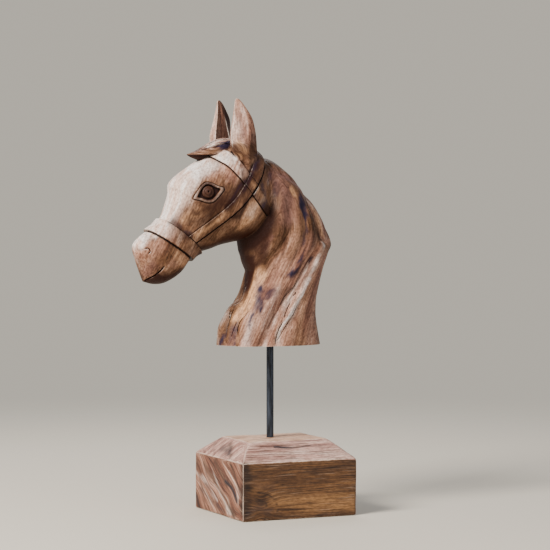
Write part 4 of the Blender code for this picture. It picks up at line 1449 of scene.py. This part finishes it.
def carved_hibiscus_wood():
    """Hibiscus wood, carved with knives, sanded and waxed: a soft satin surface on which the brown heartwood
    turns golden and pinkish pale by turns, with long blue-black mineral streaks along the fibres."""
    made, tree, shader = new_finish("carved_hibiscus_wood")
    # Such a trunk's growth bands are 5 to 10 mm wide, and it changes its colour every 20 to 30 mm
    figure = in_the_wood(tree, (120, 8, 10), 6, 0.8)
    broad = in_the_wood(tree, (140, 22, 26), 3, 0.8)
    rings = ring_lines(tree, (150, 20, 24), 11.0)
    # Real fibres are 0.02 mm wide, vessels 0.2 mm and flecks 0.5 mm. All are drawn wider here, so that they
    # show.
    fibre = in_the_wood(tree, (46, 1.8, 2.2), 6, 0.4)
    vessels = in_the_wood(tree, (64, 1.5, 2.0), 3)
    flecks = in_the_wood(tree, (3.0, 1.9, 1.9), 4)
    tone = add(tree, "ShaderNodeMix", ((0, 0.58), (2, broad), (3, figure))).outputs[0]
    heartwood = add(tree, "ShaderNodeValToRGB", ((0, tone),), HEARTWOOD).outputs[0]
    sapwood = add(tree, "ShaderNodeValToRGB", ((0, tone),), SAPWOOD).outputs[0]
    weathered_and_lit = add(tree, "ShaderNodeValToRGB", ((0, tone),), WEATHERED_AND_LIT_WOOD).outputs[0]
    fibre_shade = add(tree, "ShaderNodeValToRGB", ((0, fibre),), FIBRE_SHADE).outputs[0]
    fleck_shade = add(tree, "ShaderNodeValToRGB", ((0, flecks),), FLECK_SHADE).outputs[0]
    ring_marks = add(tree, "ShaderNodeMapRange", ((0, rings), (4, 0.4))).outputs[0]
    vessel_marks = add(tree, "ShaderNodeMapRange", ((0, vessels), (1, 0.60), (2, 0.70), (4, 0.5))).outputs[0]
    paled = feathered(tree, "pale", fibre, 0.35, 0.0, 1.0)
    # Weathering and painted light never cover the wood quite
    veil = add(tree, "ShaderNodeMapRange", ((0, paled), (4, 0.84))).outputs[0]
    coats = (
        (sapwood, feathered(tree, "sap", figure, 0.4, 0.05, 1.0)),
        # Mauve and golden wood
        ("#946b60", feathered(tree, "rose", figure, 0.5, 0.1, 1.0)),
        ("#e4b184", feathered(tree, "gold", figure, 0.7, 0.1, 1.1)),
        # Brown lines of the rings, fibres and vessels
        ("#5a3320", ring_marks),
        (fibre_shade, 0.65, "MULTIPLY"),
        ("#4a2b1a", vessel_marks),
        (weathered_and_lit, veil),
        (fleck_shade, 0.55, "MULTIPLY"),
        # Dark heartwood with painted shade, and mineral stain, then the pale worn edges with painted
        # highlights, and the dirt and painted shade in the cuts
        ("#2b0f04", feathered(tree, "umber", figure, 0.5, 0.1, 1.05)),
        ("#251c30", feathered(tree, "stain", fibre, 0.6, 0.1, 1.05)),
        ("#f4e6d8", feathered(tree, "worn", flecks, 0.6, 0.2, 1.2)),
        ("#1a0803", feathered(tree, "dirt_and_shade", flecks, 0.12, 0.12, 0.46)),
    )
    tree.links.new(lay_over(tree, heartwood, coats), shader.inputs["Base Color"])
    satin = add(tree, "ShaderNodeMapRange", ((0, figure), (1, 0.3), (2, 0.7), (3, 0.44), (4, 0.62)))
    tree.links.new(satin.outputs[0], shader.inputs["Roughness"])
    shader.inputs["IOR"].default_value = 1.48
    shader.inputs["Specular IOR Level"].default_value = 0.2
    relief = add(tree, "ShaderNodeMix", ((0, 4 / 11), (2, fibre), (3, flecks))).outputs[0]
    bump = add(tree, "ShaderNodeBump", (("Strength", 0.7), ("Distance", 0.88 * MM), ("Height", relief)))
    tree.links.new(bump.outputs[0], shader.inputs["Normal"])
    return made


# Tones of the plinth's wood, from dark to light, on its long sides, its ends, its chamfers and its top
LONG_SIDES = ((0.33, "#452c18"), (0.43, "#624225"), (0.51, "#7a5532"), (0.60, "#8e673e"), (0.70, "#9f784b"))
ENDS = ((0.37, "#36211d"), (0.44, "#6b4335"), (0.50, "#92634f"), (0.56, "#b68a75"), (0.64, "#dac0b2"))
CHAMFERS = ((0.33, "#6a5358"), (0.42, "#a2786d"), (0.50, "#cba396"), (0.60, "#dfbfb2"), (0.70, "#f0dbd0"))
TOP = ((0.33, "#a17056"), (0.45, "#cfa382"), (0.55, "#e8c2a5"), (0.68, "#f8dfcd"))
# What its saw marks and flecks let through of the colour below
SAW_SHADE = ((0.32, "#5d4c42"), (0.518, "#ebe4df"), (0.68, "#ffffff"))
PORE_SHADE = ((0.34, "#95867c"), (0.64, "#ffffff"))


def sawn_hibiscus_wood():
    """The plinth's wood, sawn and left rough: dark and golden bands along the block on its long sides, dry
    pinkish wood with slanting rings on its ends, greyed chamfers, and pale edges where colour wore off."""
    made, tree, shader = new_finish("sawn_hibiscus_wood")
    # Growth bands are 4 to 7 mm wide, seen along the block, and the changes of colour 15 to 34 mm
    bands = in_the_wood(tree, (130, 7, 4.2), 6, 0.5)
    broad = in_the_wood(tree, (70, 34, 15), 3, 0.8)
    rings = ring_lines(tree, (220, 14, 9), 12.0)
    # A fine saw's teeth leave marks about 1 mm apart. Scratches of 0.2 mm and pores of 0.3 mm are drawn wider
    # here, so that they show
    saw = in_the_wood(tree, (26, 1.7, 1.2), 4)
    scratches = in_the_wood(tree, (44, 1.5, 1.2), 2)
    pores = in_the_wood(tree, (5, 1.6, 1.6), 4)
    tone = add(tree, "ShaderNodeMix", ((0, 0.5), (2, broad), (3, bands))).outputs[0]
    long_sides = add(tree, "ShaderNodeValToRGB", ((0, tone),), LONG_SIDES).outputs[0]
    ends = add(tree, "ShaderNodeValToRGB", ((0, tone),), ENDS).outputs[0]
    chamfers = add(tree, "ShaderNodeValToRGB", ((0, tone),), CHAMFERS).outputs[0]
    top = add(tree, "ShaderNodeValToRGB", ((0, tone),), TOP).outputs[0]
    saw_shade = add(tree, "ShaderNodeValToRGB", ((0, saw),), SAW_SHADE).outputs[0]
    pore_shade = add(tree, "ShaderNodeValToRGB", ((0, pores),), PORE_SHADE).outputs[0]
    ring_marks = add(tree, "ShaderNodeMapRange", ((0, rings), (4, 0.4))).outputs[0]
    high, low = ((1, 0.58), (2, 0.72), (4, 0.4)), ((1, 0.42), (2, 0.28), (4, 0.75))
    pale_scratches = add(tree, "ShaderNodeMapRange", ((0, scratches), *high)).outputs[0]
    dark_scratches = add(tree, "ShaderNodeMapRange", ((0, scratches), *low)).outputs[0]
    rubbed = add(tree, "ShaderNodeMix", ((0, 0.5), (2, pores), (3, broad))).outputs[0]
    coats = (
        (ends, feathered(tree, "end", pores, 0.1, 0.3, 0.8)),
        (chamfers, feathered(tree, "chamfer", pores, 0.1, 0.3, 0.8)),
        (top, feathered(tree, "top", pores, 0.1, 0.3, 0.8)),
        # Golden, pale and dark wood and mineral stain
        ("#b98a58", feathered(tree, "gold", bands, 0.9, 0.0, 1.4)),
        ("#dac6bb", feathered(tree, "pale", saw, 0.5, 0.15, 1.0)),
        ("#2b1a10", feathered(tree, "umber", bands, 0.7, 0.1, 1.3)),
        ("#2c2a35", feathered(tree, "stain", saw, 0.8, 0.15, 0.9)),
        # Brown lines of the rings, then the marks of the saw and what has scratched the block since
        ("#3c2415", ring_marks),
        (saw_shade, 0.8, "MULTIPLY"),
        ("#caa98c", pale_scratches),
        ("#2e1a10", dark_scratches),
        (pore_shade, 0.5, "MULTIPLY"),
        # Bare wood on the worn edges
        ("#e0c9b6", feathered(tree, "worn", rubbed, 2.6, 0.35, 1.45)),
    )
    tree.links.new(lay_over(tree, long_sides, coats), shader.inputs["Base Color"])
    rough = add(tree, "ShaderNodeMapRange", ((0, bands), (1, 0.3), (2, 0.7), (3, 0.62), (4, 0.8)))
    tree.links.new(rough.outputs[0], shader.inputs["Roughness"])
    shader.inputs["IOR"].default_value = 1.45
    relief = add(tree, "ShaderNodeMix", ((0, 4 / 11), (2, saw), (3, pores))).outputs[0]
    bump = add(tree, "ShaderNodeBump", (("Strength", 0.55), ("Distance", 0.99 * MM), ("Height", relief)))
    tree.links.new(bump.outputs[0], shader.inputs["Normal"])
    return made


# Marks of the paint brush along the rod. Bristles leave lines 0.3 mm apart, drawn wider so that they show.
BRUSH_MARK_WIDTH, BRUSH_MARK_LENGTH = 1.67 * MM, 16.7 * MM


def blackened_steel():
    """Mild steel bar, brushed with thin black satin enamel: near black with a soft, cool highlight."""
    made, tree, shader = new_finish("blackened_steel")
    place = add(tree, "ShaderNodeTexCoord").outputs["Object"]
    per_mark = (1 / BRUSH_MARK_WIDTH, 1 / BRUSH_MARK_WIDTH, 1 / BRUSH_MARK_LENGTH)
    scaled = add(tree, "ShaderNodeVectorMath", ((0, place), (1, per_mark)), operation="MULTIPLY").outputs[0]
    strokes = add(tree, "ShaderNodeTexNoise", (("Vector", scaled), ("Scale", 1.0), ("Detail", 3.0)))
    marks = strokes.outputs["Fac"]
    enamel = add(tree, "ShaderNodeValToRGB", ((0, marks),), ((0.3, "#1d2026"), (0.7, "#3b424e")))
    tree.links.new(enamel.outputs[0], shader.inputs["Base Color"])
    satin = add(tree, "ShaderNodeMapRange", ((0, marks), (1, 0.3), (2, 0.7), (3, 0.28), (4, 0.45)))
    tree.links.new(satin.outputs[0], shader.inputs["Roughness"])
    shader.inputs["Metallic"].default_value = 0.6
    bump = add(tree, "ShaderNodeBump", (("Strength", 0.2), ("Distance", 0.1 * MM), ("Height", marks)))
    tree.links.new(bump.outputs[0], shader.inputs["Normal"])
    return made


def dress(piece, node, finish):
    piece.data.materials.clear()
    piece.data.materials.append(finish)
    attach(piece, "root")
    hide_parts(node)


FLOOR_RADIUS = 1.6
FLOOR_PAINT = "#c9c2b4"


def studio_floor():
    """A plain pale floor whose far rim fades into the backdrop's own shade."""
    bm = bmesh.new()
    bmesh.ops.create_circle(bm, cap_ends=True, segments=96, radius=FLOOR_RADIUS)
    floor = object_from("studio_floor", bm)
    made = bpy.data.materials.new("matt_floor_paint")
    made.use_nodes = True
    tree = made.node_tree
    shader = tree.nodes["Principled BSDF"]
    shader.inputs["Base Color"].default_value = linear(FLOOR_PAINT)
    shader.inputs["Roughness"].default_value = 0.95
    place = add(tree, "ShaderNodeTexCoord").outputs["Object"]
    away = add(tree, "ShaderNodeVectorMath", ((0, place),), operation="LENGTH").outputs["Value"]
    limits = ((0, away), (1, 0.35 * FLOOR_RADIUS), (2, FLOOR_RADIUS))
    fade = add(tree, "ShaderNodeMapRange", limits, interpolation_type="SMOOTHSTEP").outputs[0]
    clear = add(tree, "ShaderNodeBsdfTransparent").outputs[0]
    faded = add(tree, "ShaderNodeMixShader", ((0, fade), (1, shader.outputs[0]), (2, clear))).outputs[0]
    tree.links.new(faded, tree.nodes["Material Output"].inputs["Surface"])
    floor.data.materials.append(made)


BACKDROP = "#c4beb2"
ROOM_LIGHT, ROOM_STRENGTH = "#d9dbe0", 0.5
# Lights: place, size across and up, power in watts, colour. All look at the middle of the object's height.
LIGHTS = (
    ((-2.0, -0.78, 1.7), 1.0, 1.0, 150.0, "#fff8f0"),
    ((0.9, -2.2, 1.0), 1.8, 1.4, 9.0, "#eef2ff"),
    ((0.6, 1.5, 1.6), 1.4, 1.0, 16.0, "#ffffff"),
)


def studio_lights():
    world = bpy.data.worlds.new("soft_studio")
    bpy.context.scene.world = world
    world.use_nodes = True
    tree = world.node_tree
    backdrop = tree.nodes["Background"]
    backdrop.inputs["Color"].default_value = linear(BACKDROP)
    room = add(tree, "ShaderNodeBackground", (("Color", ROOM_LIGHT), ("Strength", ROOM_STRENGTH))).outputs[0]
    seen = add(tree, "ShaderNodeLightPath").outputs["Is Camera Ray"]
    either = add(tree, "ShaderNodeMixShader", ((0, seen), (1, room), (2, backdrop.outputs[0]))).outputs[0]
    tree.links.new(either, tree.nodes["World Output"].inputs["Surface"])
    aim = Vector((0, 0, (cad_low.z + cad_high.z) / 2))
    for number, (place, wide, high, watts, code) in enumerate(LIGHTS):
        lamp = bpy.data.lights.new(f"softbox_{number}", "AREA")
        lamp.shape = "RECTANGLE"
        lamp.size, lamp.size_y = wide, high
        lamp.energy = watts
        lamp.color = linear(code)[:3]
        obj = bpy.data.objects.new(lamp.name, lamp)
        obj.location = place
        obj.rotation_euler = (Vector(place) - aim).to_track_quat("Z", "Y").to_euler()
        bpy.context.scene.collection.objects.link(obj)


# Camera: seen from 24.5 degrees to the left of the horse's own left side, a little from above
CAMERA_AWAY = 2.5
CAMERA_TURN = math.radians(24.5)
CAMERA_HEIGHT = 0.342
CAMERA_DOWN = math.radians(1.88)
IMAGE_SIDE = 550
FOCAL_PIXELS = 2282.5
SENSOR = 36.0


def photo_camera():
    data = bpy.data.cameras.new("camera")
    data.sensor_width = SENSOR
    data.lens = SENSOR * FOCAL_PIXELS / IMAGE_SIDE
    camera = bpy.data.objects.new("camera", data)
    left, front = CAMERA_AWAY * math.sin(CAMERA_TURN), CAMERA_AWAY * math.cos(CAMERA_TURN)
    camera.location = (-left, -front, CAMERA_HEIGHT)
    camera.rotation_euler = (math.pi / 2 - CAMERA_DOWN, 0, -CAMERA_TURN)
    bpy.context.scene.collection.objects.link(camera)
    bpy.context.scene.camera = camera


photo_camera()
studio_floor()
studio_lights()
dress(horse_head(), "horse_head", carved_hibiscus_wood())
dress(steel_rod(), "support_rod", blackened_steel())
dress(plinth_block(), "plinth", sawn_hibiscus_wood())

bpy.context.view_layer.update()
